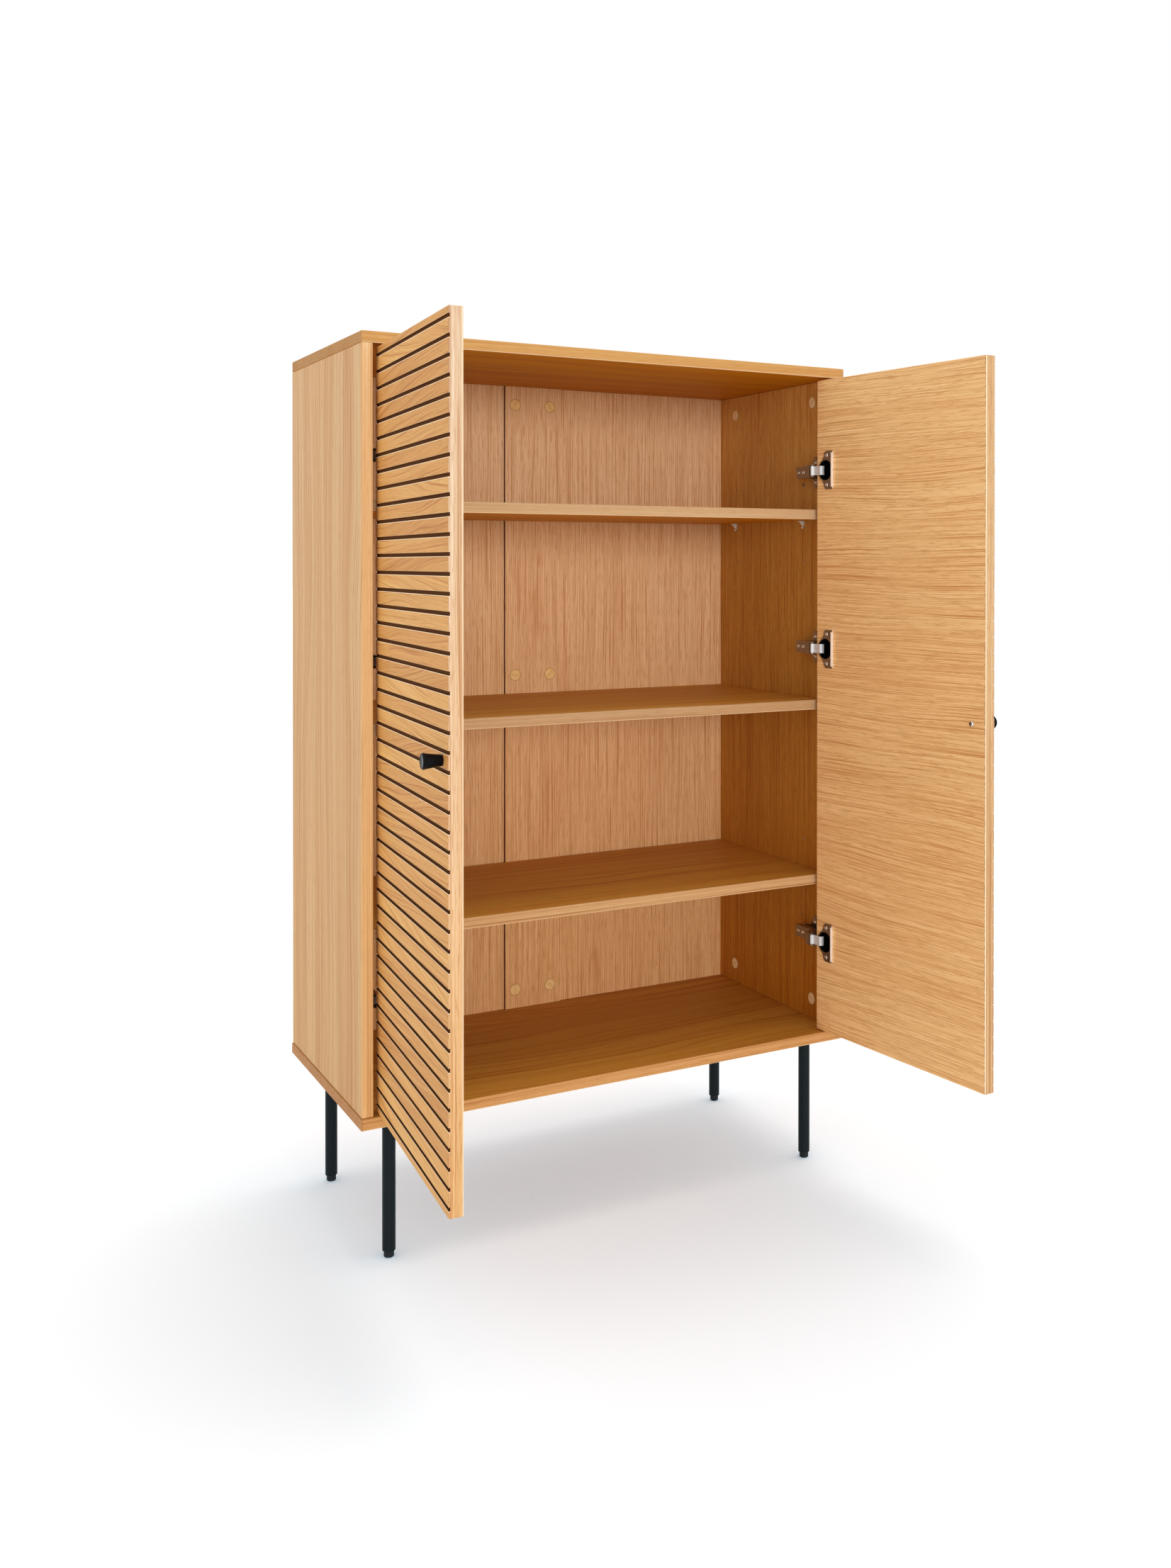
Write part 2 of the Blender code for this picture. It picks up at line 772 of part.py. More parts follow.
def make_knob(label, side, axis):
    """A cone that widens away from the door, with a bead before its dished end."""
    base = KNOB_BASE_DIAMETER / 2
    tip = KNOB_TIP_DIAMETER / 2
    bead = KNOB_BEAD_DIAMETER / 2
    bead_end = KNOB_LENGTH - KNOB_NECK_LENGTH
    bead_start = bead_end - KNOB_BEAD_LENGTH
    ease = KNOB_DISH / 2
    bore = KNOB_SCREW_DIAMETER / 2 + SEAT_GAP
    bore_end = KNOB_SCREW_REACH + SEAT_GAP
    profile = [
        (0, KNOB_LENGTH - KNOB_DISH),
        (tip - 2 * KNOB_DISH, KNOB_LENGTH - ease),
        (tip - KNOB_DISH, KNOB_LENGTH),
        (tip - ease, KNOB_LENGTH - ease),
        (tip, bead_end),
        (bead, bead_end - KNOB_BEAD_LENGTH / 4),
        (bead, bead_start + KNOB_BEAD_LENGTH / 4),
        (tip, bead_start),
        (base, ease),
        (base - ease, 0),
        (bore, 0),
        (bore, bore_end),
        (0, bore_end),
    ]
    knob = turned_body(label + "_knob", profile, BLACK_PLASTIC, axis)
    x, y = door_place(side, DOOR_WIDTH - KNOB_FROM_EDGE, -DOOR_THICKNESS - SEAT_GAP)
    knob.location = (x, y, DOOR_MIDDLE)
    knob.rotation_euler = (math.pi / 2, 0, 0)


def make_knob_screw(label, side, axis):
    head = KNOB_SCREW_HEAD / 2
    shank = KNOB_SCREW_DIAMETER / 2
    reach = DOOR_THICKNESS + KNOB_SCREW_REACH - SEAT_GAP
    profile = [
        (0, KNOB_SCREW_HEAD_HEIGHT),
        (head / 2, KNOB_SCREW_HEAD_HEIGHT),
        (head - KNOB_SCREW_HEAD_HEIGHT / 4, KNOB_SCREW_HEAD_HEIGHT * 3 / 4),
        (head, KNOB_SCREW_HEAD_HEIGHT / 4),
        (head, 0),
        (shank, 0),
        (shank, -reach),
        (0, -reach),
    ]
    screw = turned_body(label + "_knob_screw", profile, STEEL, axis, SMALL_ROUND_STEPS)
    x, y = door_place(side, DOOR_WIDTH - KNOB_FROM_EDGE, SEAT_GAP)
    screw.location = (x, y, DOOR_MIDDLE)
    screw.rotation_euler = (-math.pi / 2, 0, 0)


# Hinge cups, which ride on the doors

def cup_mesh():
    """The cup and its flange. X runs along the door, Y up it, and Z out of its inner face."""
    half = FLANGE_HEIGHT / 2
    cup = CUP_DIAMETER / 2
    screw_x = TAB_SCREW_OFFSET
    screw_y = TAB_SCREW_PITCH / 2
    tab = TAB_RADIUS
    corner = tab / 2
    outline = mirrored_outline(
        arc((FLANGE_FRONT - corner, half - corner), corner, 0, 90, 3)
        + arc((screw_x, half - tab), tab, 90, 190, 5)
        + arc((0, 0), cup + FLANGE_THICKNESS / 2, 118, 176, 4)
    )
    holes = [
        circle((screw_x, way * screw_y), TAB_SCREW_HOLE / 2) for way in (-1, 1)
    ]
    body = outline_body("cup_master", [outline] + holes, FLANGE_THICKNESS, STEEL)
    body.location = (0, 0, SEAT_GAP + FLANGE_THICKNESS / 2)
    shell = cylinder("cup_shell", cup, CUP_DEPTH + SEAT_GAP + FLANGE_THICKNESS / 2, CUTTERS)
    shell.location = (0, 0, (SEAT_GAP + FLANGE_THICKNESS / 2 - CUP_DEPTH) / 2)
    lip = box(
        "cup_lip",
        (FLANGE_FRONT - FLANGE_LIP_THICKNESS, -half + corner, SEAT_GAP),
        (FLANGE_FRONT, half - corner, SEAT_GAP + FLANGE_LIP_HEIGHT),
        group=CUTTERS,
        ease=0,
    )
    hollow_depth = CUP_DEPTH - CUP_WALL + FLANGE_THICKNESS + OVERRUN
    hollow = cylinder("cup_hollow", cup - CUP_WALL, hollow_depth, CUTTERS)
    hollow.location = (0, 0, CUP_WALL - CUP_DEPTH + hollow_depth / 2)
    join(body, shell)
    join(body, lip)
    cut(body, hollow)
    mesh = evaluated_mesh(body, "hinge_cup")
    mesh.transform(body.matrix_world)
    smooth_shape(mesh)
    bpy.data.objects.remove(body, do_unlink=True)
    return mesh


def make_cups(label, side, axis, mesh):
    x, y = door_place(side, CUP_FROM_EDGE, 0)
    for level, height in HINGE_HEIGHTS.items():
        cup = add_object("_".join((label, level, "hinge_cup")), mesh, parent=axis)
        cup.location = (x, y, height)
        cup.rotation_euler = (side * math.pi / 2, 0, math.pi if side > 0 else 0)


# Hinge plates, arms and links, which stand on the side panels

def plate_mesh():
    """The mounting plate: wings for two screws, and the saddle that the arm sits on."""
    wing_y = PLATE_SCREWS_BACK
    half = PLATE_HEIGHT / 2
    waist = ARM_WIDTH / 2
    tip = PLATE_WING / 2
    outline = mirrored_outline(
        [(PLATE_FRONT, waist - PLATE_THICKNESS)]
        + [(wing_y - PLATE_WING, waist)]
        + arc((wing_y, half - tip), tip, 180, 0, 5)
        + [(wing_y + PLATE_WING, waist), (PLATE_REAR, waist - PLATE_THICKNESS)]
    )
    holes = [
        circle((wing_y, way * PLATE_SCREW_PITCH / 2), PLATE_SCREW_HOLE / 2)
        for way in (-1, 1)
    ]
    body = outline_body("plate_master", [outline] + holes, PLATE_THICKNESS, STEEL)
    body.rotation_euler = (math.pi / 2, 0, math.pi / 2)
    body.location = (SEAT_GAP + PLATE_THICKNESS / 2, 0, 0)
    saddle_top = ARM_RISE - ARM_WALL - SEAT_GAP
    saddle = box(
        "plate_saddle",
        (SEAT_GAP + PLATE_THICKNESS / 2, SADDLE_FRONT, -SADDLE_WIDTH / 2),
        (saddle_top, ARM_REAR, SADDLE_WIDTH / 2),
        group=CUTTERS,
    )
    join(body, saddle)
    mesh = evaluated_mesh(body, "hinge_mounting_plate")
    mesh.transform(body.matrix_world)
    smooth_shape(mesh)
    bpy.data.objects.remove(body, do_unlink=True)
    return mesh


def arm_outline(drop, spread):
    """The arm from the side. drop lowers its top line, and spread widens it below."""
    rise = ARM_RISE - drop
    crank_rear = SADDLE_FRONT - SEAT_GAP
    crank_front = crank_rear - ARM_CRANK_LENGTH
    nose = NOSE_RADIUS
    pivot = (LINK_PIVOT_X, LINK_PIVOT_Y)
    lower = ARM_RISE - ARM_DEPTH - spread
    return (
        [(lower, ARM_REAR + spread), (rise, ARM_REAR + spread), (rise, crank_rear)]
        + [(LINK_PIVOT_X + nose - drop, crank_front + nose)]
        + arc(pivot, nose, 0, -180, 6)
        + [(lower, crank_rear)]
    )


def arm_mesh():
    """A channel, cranked away from the side panel, with two ears and a pin at its nose."""
    body = outline_body("arm_master", [arm_outline(0, 0)], ARM_WIDTH, STEEL)
    hollow = outline_body(
        "arm_hollow",
        [arm_outline(ARM_WALL, OVERRUN)],
        ARM_WIDTH - 2 * ARM_WALL,
        None,
        CUTTERS,
    )
    cut(body, hollow)
    mouth_reach = LINK_EYE_RADIUS + NOSE_RADIUS
    mouth = box(
        "arm_mouth",
        (LINK_PIVOT_X - mouth_reach, LINK_PIVOT_Y - mouth_reach, ARM_WALL - ARM_WIDTH / 2),
        (
            LINK_PIVOT_X + mouth_reach,
            LINK_PIVOT_Y + LINK_EYE_RADIUS + 2 * SEAT_GAP,
            ARM_WIDTH / 2 - ARM_WALL,
        ),
        group=CUTTERS,
        ease=0,
    )
    cut(body, mouth)
    for k in (0, 1):
        slot = cylinder(
            "arm_screw_hole_" + str(k),
            ARM_SCREW_HOLE / 2,
            ARM_RISE,
            CUTTERS,
            steps=SMALL_ROUND_STEPS,
        )
        slot.rotation_euler = (0, math.pi / 2, 0)
        slot.location = (ARM_RISE, ARM_REAR - (k + 1 / 2) * ARM_SCREW_PITCH, 0)
        cut(body, slot)
    pin = cylinder(
        "arm_pin", LINK_PIN_DIAMETER / 2, ARM_WIDTH - ARM_WALL, CUTTERS, steps=SMALL_ROUND_STEPS
    )
    pin.location = (LINK_PIVOT_X, LINK_PIVOT_Y, 0)
    join(body, pin)
    return shared_mesh(body, "hinge_arm")


def link_path(angle):
    """The link's bends from its pivot, for a left door that stands open by the angle.

    It goes over the door's hinge edge and down into the cup. along and out are as in door_place.
    """
    hollow = CUP_DIAMETER / 2 - CUP_WALL
    near_wall = CUP_FROM_EDGE - math.sqrt(hollow**2 - (LINK_HEIGHT / 2) ** 2)
    tip = near_wall + LINK_TIP_CLEARANCE + LINK_THICKNESS / 2
    over = LINK_OVER_DOOR + LINK_THICKNESS / 2
    bends = [
        (-LINK_OVER_DOOR, over),
        (tip - LINK_THICKNESS, over),
        (tip, over - LINK_THICKNESS),
        (tip, -LINK_INTO_CUP),
    ]
    axis_x = DOOR_SIDE_GAP + HINGE_AXIS_FROM_EDGE - LINK_PIVOT_X
    axis_y = HINGE_AXIS_FROM_FACE - LINK_PIVOT_Y
    path = [(0, 0)]
    for along, out in bends:
        x, y = door_place(-1, along, out)
        path.append(
            (
                axis_x + x * math.cos(angle) + y * math.sin(angle),
                axis_y - x * math.sin(angle) + y * math.cos(angle),
            )
        )
    return path


def link_mesh(angle, name):
    eye = cylinder("link_eye", LINK_EYE_RADIUS, LINK_HEIGHT, CUTTERS, steps=SMALL_ROUND_STEPS)
    bore = cylinder(
        "link_bore",
        LINK_PIN_DIAMETER / 2 + SEAT_GAP,
        LINK_HEIGHT + OVERRUN,
        CUTTERS,
        steps=SMALL_ROUND_STEPS,
    )
    outline = strip_outline(link_path(angle), LINK_THICKNESS)
    body = outline_body("link_master", [outline], LINK_HEIGHT, STEEL)
    join(body, eye)
    cut(body, bore)
    return shared_mesh(body, name)


def make_hinges(label, side, plate, arm):
    link = link_mesh(OPEN_ANGLES[label], label + "_hinge_link")
    turn = (0, math.pi if side > 0 else 0, 0)
    for level, height in HINGE_HEIGHTS.items():
        for kind, mesh in (("hinge_mounting_plate", plate), ("hinge_arm", arm)):
            piece = add_object("_".join((label, level, kind)), mesh)
            piece.location = (side * SIDE_INNER, CASE_FRONT, height)
            piece.rotation_euler = turn
        piece = add_object("_".join((label, level, "hinge_link")), link)
        piece.location = (
            side * (SIDE_INNER - LINK_PIVOT_X),
            CASE_FRONT + LINK_PIVOT_Y,
            height,
        )
        piece.rotation_euler = turn


def make_doors_and_hinges():
    cup = cup_mesh()
    plate = plate_mesh()
    arm = arm_mesh()
    for label, side in SIDES.items():
        axis = make_door(label, side)
        make_cups(label, side, axis, cup)
        make_hinges(label, side, plate, arm)


make_case()
make_back()
make_shelf_pins()
make_hole_plug()
make_legs()
make_doors_and_hinges()
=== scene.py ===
"""The looks of the highboard: oak veneer, black legs and knobs, hinge screws and cover caps.

Metres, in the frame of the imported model: +X to the right seen from the front, +Y to the back.
"""

import math

import bmesh
import bpy
from mathutils import Matrix, Vector


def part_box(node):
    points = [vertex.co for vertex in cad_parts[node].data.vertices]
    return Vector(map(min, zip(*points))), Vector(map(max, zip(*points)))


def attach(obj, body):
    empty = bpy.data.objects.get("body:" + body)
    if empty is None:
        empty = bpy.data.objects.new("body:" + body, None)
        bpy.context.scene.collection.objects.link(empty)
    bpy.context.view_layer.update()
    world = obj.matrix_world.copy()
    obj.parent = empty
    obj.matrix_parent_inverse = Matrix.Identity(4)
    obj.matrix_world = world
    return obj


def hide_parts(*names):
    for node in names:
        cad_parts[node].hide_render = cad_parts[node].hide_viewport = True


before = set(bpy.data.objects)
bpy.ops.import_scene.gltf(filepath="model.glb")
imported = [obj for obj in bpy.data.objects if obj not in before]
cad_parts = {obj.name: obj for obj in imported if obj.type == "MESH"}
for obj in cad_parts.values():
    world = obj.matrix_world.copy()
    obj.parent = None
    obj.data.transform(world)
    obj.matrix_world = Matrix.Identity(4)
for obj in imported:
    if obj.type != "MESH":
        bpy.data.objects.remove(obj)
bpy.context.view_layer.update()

X, Y, Z = range(3)
SIDES = {"left": -1, "right": 1}

# The case
CASE_WIDTH = 0.800
CASE_DEPTH = 0.380
CASE_HEIGHT = 1.100
LEG_HEIGHT = 0.200
BOARD = 0.016
BOTTOM_LIP_FRONT = 0.0028
SHELF_SETBACK = 0.0225
MIDDLE_SHELF_RISE = 0.525
RAIL_WIDTH = 0.102
RAIL_THICKNESS = 0.0078
RAIL_OFFSET = 0.007

CASE_FRONT = -CASE_DEPTH / 2
CASE_REAR = CASE_DEPTH / 2
SIDE_INNER = CASE_WIDTH / 2 - BOARD
FLOOR_TOP = LEG_HEIGHT + BOARD
CEILING = LEG_HEIGHT + CASE_HEIGHT - BOARD
MIDDLE_SHELF_TOP = FLOOR_TOP + MIDDLE_SHELF_RISE + BOARD
BOTTOM_FRONT = CASE_FRONT - BOTTOM_LIP_FRONT
SHELF_FRONT = CASE_FRONT + SHELF_SETBACK
RAIL_FRONT = CASE_REAR - RAIL_THICKNESS
RAIL_LEFT = RAIL_OFFSET - RAIL_WIDTH / 2

# The doors, as they stand when shut, and how far the photograph shows them open
DOOR_THICKNESS = 0.018
DOOR_SIDE_GAP = 0.0025
DOOR_CENTRE_GAP = 0.003
DOOR_TOP_GAP = 0.0046
DOOR_BOTTOM_GAP = 0.0024
SLATS = 46
GROOVE_WIDTH = 0.0033
GROOVE_DEPTH = 0.0017
GROOVE_EASE = 0.0006
HINGE_AXIS_FROM_EDGE = 0.0102
HINGE_AXIS_FROM_FACE = 0.005
OPEN_ANGLES = {"left": math.radians(94.4), "right": math.radians(95.8)}

DOOR_EDGE = SIDE_INNER - DOOR_SIDE_GAP
DOOR_FREE_EDGE = DOOR_CENTRE_GAP / 2
DOOR_INSIDE = CASE_FRONT + DOOR_THICKNESS
DOOR_BOTTOM = FLOOR_TOP + DOOR_BOTTOM_GAP
DOOR_TOP = CEILING - DOOR_TOP_GAP
DOOR_MIDDLE = (DOOR_BOTTOM + DOOR_TOP) / 2
SLAT_PITCH = (DOOR_TOP - DOOR_BOTTOM) / SLATS
AXIS_X = DOOR_EDGE - HINGE_AXIS_FROM_EDGE
AXIS_Y = CASE_FRONT + HINGE_AXIS_FROM_FACE

# The hinges
TOP_HINGE_DROP = 0.147
MIDDLE_HINGE_RISE = 0.085
BOTTOM_HINGE_RISE = 0.146
CUP_FROM_EDGE = 0.0225
FLANGE_FRONT = 0.0185
FLANGE_THICKNESS = 0.0013
FLANGE_LIP_THICKNESS = 0.0012
TAB_SCREW_PITCH = 0.048
TAB_SCREW_OFFSET = 0.003
PLATE_THICKNESS = 0.0016
PLATE_SCREW_PITCH = 0.032
PLATE_SCREWS_BACK = 0.057
ARM_RISE = 0.020
ARM_SCREWS_BACK = {"rear": 0.07975, "front": 0.06525}
HINGE_HEIGHTS = {
    "top": DOOR_TOP - TOP_HINGE_DROP,
    "middle": MIDDLE_SHELF_TOP + MIDDLE_HINGE_RISE,
    "bottom": DOOR_BOTTOM + BOTTOM_HINGE_RISE,
}

# Screws: across the head and its height, across the shank, and how deep the shank reaches
TAB_SCREW = {"head": 0.0068, "height": 0.0012, "shank": 0.0036, "reach": 0.004}
PLATE_SCREW = {"head": 0.0076, "height": 0.0014, "shank": 0.0040, "reach": 0.004}
ARM_SCREW = {"head": 0.0074, "height": 0.0009, "shank": 0.0046, "reach": 0.003, "recess_share": 0.62}
KNOB_SCREW = {"head": 0.0086, "height": 0.0026, "shank": 0.004, "reach": 0.0297}
KNOB_FROM_EDGE = 0.0275
SEAT_GAP = 0.0003

# A screw's outline, as shares of its shank's radius and reach, and of its head's radius and height
SHANK_SHARES = ((0.6, 1.0), (1.0, 0.96), (1.0, 0.0))
HEAD_SHARES = ((0.97, 0.0), (1.0, 0.18), (0.94, 0.55), (0.80, 0.85), (0.66, 1.0))
RECESS_SHARE = 0.55
RECESS_ARM_SHARE = 0.26
RECESS_FLOOR_SHARE = 0.8
RECESS_FLOOR_ARM_SHARE = 0.18
RECESS_FLOOR_HEIGHT_SHARE = 0.25

# How far the cross of each screw is turned, in radians
TAB_SCREW_TURN = 0.5
PLATE_SCREW_TURN = 0.4
ARM_SCREW_TURNS = {"rear": 2.3925, "front": 1.9575}
KNOB_SCREW_TURN = 0.4

# Cover caps. Each is turned on from the one before it.
CAP_RADIUS = 0.010
CAP_THICKNESS = 0.0006
CAP_SINK = 0.0001
CAP_RIM_INSETS = (0.0, 0.00025, 0.0007)
CAP_RIM_HEIGHT_SHARES = (0.45, 0.85, 1.0)
CAP_RIM_SHADE_WIDTH = 0.0009
CAP_TURN = 0.9
SIDE_CAP_FROM_BOARD = 0.0335
SIDE_CAP_FROM_FRONT = 0.069
SIDE_CAP_FROM_REAR = 0.057
BACK_CAP_FROM_BOARD = 0.032
BACK_CAP_FROM_MIDDLE = 0.032

# Shelf pins. Heights are measured down from the shelf's underside.
PIN_RADIUS = 0.0025
PIN_LENGTH = 0.008
PIN_AXIS_DROP = 0.003
PIN_PLATE = 0.0013
PIN_PLATE_WIDTH = 0.008
PIN_PLATE_DROP = 0.0095
PIN_TONGUE_REACH = 0.0102
PIN_TONGUE_WIDTH = 0.007
PIN_TONGUE = 0.0015
PIN_WEB = 0.0014
PIN_WEB_REACH = 0.0088
PIN_WEB_TOE = PIN_PLATE * 2
PIN_WEB_TOE_DROP = PIN_PLATE_DROP * 0.85
PIN_BEAD_RADIUS = 0.0019

# Lippings, glue lines, painted highlights on arrises and groove edges, and painted shade at the
# back's seam. A bound of colour reaches a slack past the face it covers.
LIPPING = 0.0013
ARRIS = 0.0012
DOOR_CORNER = 0.0014
GLUE_WIDTH = 0.0007
SEAM_WIDTH = 0.0009
LIT_UNDER_GROOVE = 0.0016
LIT_OVER_GROOVE = 0.0010
BOARD_END_SKIN = 0.0005
SLACK = 0.0002

# Faces round a curve, and the angle from which an edge is sharp
SCREW_STEPS = 32
CAP_STEPS = 48
PIN_STEPS = 20
BEAD_RINGS = 12
SHARP_ANGLE = math.radians(30)
LEAST_COSINE = 1e-6

# The picture and its camera
PICTURE_WIDTH = 1652
PICTURE_HEIGHT = 2213
CENTRE_PIXEL = (1034.1, 810.23)
CAMERA_PLACE = (-0.98678, -2.1981, 0.97985)
CAMERA_TURN = math.radians(30.368)
CAMERA_PITCH = math.radians(0.39)
CAMERA_ROLL = math.radians(0.05)
SENSOR_MM = 36.0
LENS_MM = 33.99
CLIP_NEAR = 0.05
CLIP_FAR = 200.0
FLOOR_REACH = 60.0

# The sRGB curve
SRGB_FULL = 255
SRGB_TOE = 0.04045
SRGB_TOE_SLOPE = 12.92
SRGB_OFFSET = 0.055
SRGB_POWER = 2.4

# Where the Mix node keeps its sockets for colours
MIX_FACTOR = 0
MIX_FIRST = 6
MIX_SECOND = 7
MIX_RESULT = 2


# Colours

def srgb(red, green, blue):
    """A colour of the photograph, on a scale of 255, as the shader's linear one."""
    def linear(value):
        value /= SRGB_FULL
        if value <= SRGB_TOE:
            return value / SRGB_TOE_SLOPE
        return ((value + SRGB_OFFSET) / (1 + SRGB_OFFSET)) ** SRGB_POWER

    return (linear(red), linear(green), linear(blue), 1.0)


def scaled(colour, red, green, blue):
    return (colour[0] * red, colour[1] * green, colour[2] * blue, 1.0)


def toned(colour, gain):
    return scaled(colour, gain, gain, gain)


def shifted(colour, shift, amount):
    """A colour with an amount of each of the shift's shares added to it."""
    return scaled(colour, *(1 + amount * part for part in shift))


# The mean colour of each wooden surface
OUTSIDE = srgb(214, 175, 129)
# Painted light: the side lip is lighter, to make up for the shadow that the open door casts on it
SIDE_LIP = srgb(235, 196, 145)
FRONT_LIP = srgb(203, 154, 92)
# Painted shade: the inner side, the ceiling wood and the shelf tops are deeper and more saturated
# than the oak outside, for the shade inside the case
INNER_SIDE = srgb(223, 173, 97)
CEILING_WOOD = srgb(203, 133, 8)
SHELF_TOP = srgb(200, 146, 61)
SHELF_LIPS = {
    "bottom_panel": srgb(208, 157, 104),
    "lower_shelf": srgb(206, 169, 127),
    "middle_shelf": srgb(188, 150, 111),
    "upper_shelf": srgb(198, 163, 122),
}
BACK = srgb(243, 202, 156)
DOOR_FACE = srgb(219, 165, 97)
# Painted light: the door's inner face is lighter than the oak outside, for the light falling on it
DOOR_INNER = srgb(246, 202, 142)
DOOR_LIPS = {"left": srgb(227, 201, 171), "right": srgb(211, 172, 126)}
SIDE_CAP = srgb(253, 230, 182)
BACK_CAP = srgb(246, 206, 138)
# Painted highlight: arrises and groove edges are lightened where they catch light
ARRIS_HIGHLIGHT = srgb(250, 226, 190)
# Dark colour of the grooves, partly their own and partly painted shade
GROOVE = srgb(82, 44, 6)
GLUE_LINE = srgb(120, 78, 44)
# Painted shade along the rails' left edge, for the gap beside the left back panel
SEAM_SHADE = srgb(96, 50, 20)

# Painted shade: tints that darken the wood towards the floor, and the heights where each starts and
# is full
OUTER_FALL = (0.95, 0.90, 0.78, 1)
INNER_TOP_FALL = (0.77, 0.70, 0.47, 1)
INNER_LOW_FALL = (0.99, 0.80, 0.42, 1)
BACK_FALL = (0.94, 0.82, 0.62, 1)
DOOR_LIP_FALLS = {"left": (0.94, 0.71, 0.43, 1), "right": (1, 1, 1, 1)}
FALL_START = 1.35
FALL_END = 0.15
INNER_TOP_START = 1.30
INNER_TOP_END = 0.90
INNER_LOW_START = 0.95

# Tints of single surfaces
RED_SLAT = (1.03, 0.96, 0.90, 1)
YELLOW_SLAT = (0.98, 1.04, 1.08, 1)
BOARD_END = (0.80, 0.76, 0.72, 1)
# Painted shade round a cover cap's rim, where it meets the panel
CAP_RIM_SHADE = (0.55, 0.46, 0.38)
GROOVE_DARK = 0.4
GROOVE_LIGHT = 1.9

# Oak. The strips' colours are shares added to the mean colour, those of the lines are factors.
PINK_STRIP = (-0.02, -0.08, -0.13)
YELLOW_STRIP = (0.05, 0.08, 0.10)
DARK_LINE = (0.70, 0.50, 0.37)
PALE_LINE = (1.12, 1.21, 1.36)
SPECK = (0.78, 0.66, 0.55)
LINE_STRENGTH = 0.9
SPECK_STRENGTH = 0.5

# Where a noise starts to give each of them, and where it gives them in full
STRIP_SPAN = (0.36, 0.64)
DARK_LINE_SPAN = (0.52, 0.68)
PALE_LINE_SPAN = (0.48, 0.34)
SPECK_SPAN = (0.50, 0.72)

# The scales of the oak's noises, the steps from seed to seed, and the heights that it gives
DRIFT_ACROSS = 2.5
DRIFT_ALONG = 0.6
DRIFT_SWING = 4
STRIPS_ACROSS = 26.0
STRIPS_ALONG = 0.5
FIBRES_ACROSS = 800.0
FIBRES_ALONG = 36.0
SEED_STEPS = (1.37, 2.11, 0.73)
FIBRE_HEIGHT = -0.5
LINE_HEIGHT = -0.4

# The grain of each surface
OUTER_GRAIN = {"lines": 420.0, "warp": 0.03, "figure": 2.2, "strength": 1.3, "strips": 1.7}
INNER_GRAIN = {"lines": 520.0, "run": 3.0, "warp": 0.005, "strength": 2.8, "strips": 0.6}
LIP_GRAIN = {"lines": 420.0, "warp": 0.003, "figure": 4.0}
BACK_GRAIN = {"lines": 850.0, "run": 4.5, "warp": 0.004, "strength": 2.2, "strips": 0.1}
SLAT_GRAIN = {"lines": 460.0, "run": 3.0, "warp": 0.012, "figure": 5.0}
DOOR_INNER_GRAIN = {
    "lines": 900.0,
    "run": 3.6,
    "warp": 0.007,
    "figure": 4.0,
    "strength": 1.8,
    "strips": 0.6,
}
DOOR_LIP_GRAIN = {"lines": 300.0, "warp": 0.004, "strength": 1.9}
CAP_GRAIN = {"lines": 500.0, "warp": 0.004, "figure": 30.0}
CAP_GRAIN_TURN = 0.7
GLUE_DASHES = (1.0, 1.0, 160.0)
GLUE_DASH_SPAN = (0.48, 0.56)
GROOVE_STREAKS = (2.0, 1.0, 1400.0)

# How the slats of a door differ from each other
SLAT_JUMP = (7.0, 3.0, 5.0)
SLAT_LEAN = 0.30
SLAT_SWING = 0.24
MIDDLE_CHANCE = 0.5
DOOR_NUMBER_STEP = 100.0

# How rough the wood is, and how fully the painted highlights on an arris and on a groove's upper edge
# show
WOOD_ROUGHNESS = 0.55
GROOVE_ROUGHER = 0.4
CAP_ROUGHNESS = 0.5
ARRIS_HIGHLIGHT_SHARE = 0.6
FAINT_SHARE = 0.6

# Metal, black coat and plastic. Gloss is the specular level.
# Nickel plating, with a dark brown tint that is painted reflection of the oak round the hinges
NICKEL = {"colour": (0.27, 0.225, 0.18, 1), "roughness": 0.22, "metallic": 0.85}
SATIN_NICKEL = {"colour": (0.70, 0.72, 0.73, 1), "roughness": 0.45, "metallic": 0.3}
SCREW_STEEL = {"colour": (0.74, 0.73, 0.71, 1), "roughness": 0.2, "metallic": 1.0}
METAL_DARK = 0.86
METAL_LIGHT = 1.1
BRUSHING = (900.0, 900.0, 260.0)
# Painted shade inside a hinge cup, and a painted highlight on its flange's lip
CUP_HOLLOW_SHADE = (0.006, 0.006, 0.007, 1)
CUP_LIP_HIGHLIGHT = (0.95, 0.94, 0.92, 1)
CUP_ROUGHER = 0.4
BLACK_COAT = ((0.004, 0.008, 0.010, 1), (0.010, 0.019, 0.023, 1))
BLACK_PLASTIC = {
    "colours": ((0.003, 0.003, 0.004, 1), (0.007, 0.007, 0.008, 1)),
    "roughness": 0.24,
    "gloss": 0.07,
}
FOOT_PLASTIC = {
    "colours": ((0.008, 0.011, 0.013, 1), (0.020, 0.024, 0.027, 1)),
    "roughness": 0.5,
    "gloss": 0.15,
}
GREY_PLASTIC = {
    "colours": (srgb(110, 96, 78), srgb(140, 124, 100)),
    "roughness": 0.5,
    "gloss": 0.5,
}
CLEAR_PLASTIC = {"IOR": 1.49, "Transmission_Weight": 0.3, "Coat_Weight": 0.6}

# The room. The camera and reflections see it whiter than it lights the object.
FLOOR_LIT = (0.92, 0.85, 0.77, 1)
FLOOR_SEEN = (1.02, 0.90, 0.82, 1)
FLOOR_GLOW = (0.0, 0.16, 0.265, 1)
WORLD_LIGHT = 0.85
WORLD_SEEN = 1.0


# Node trees

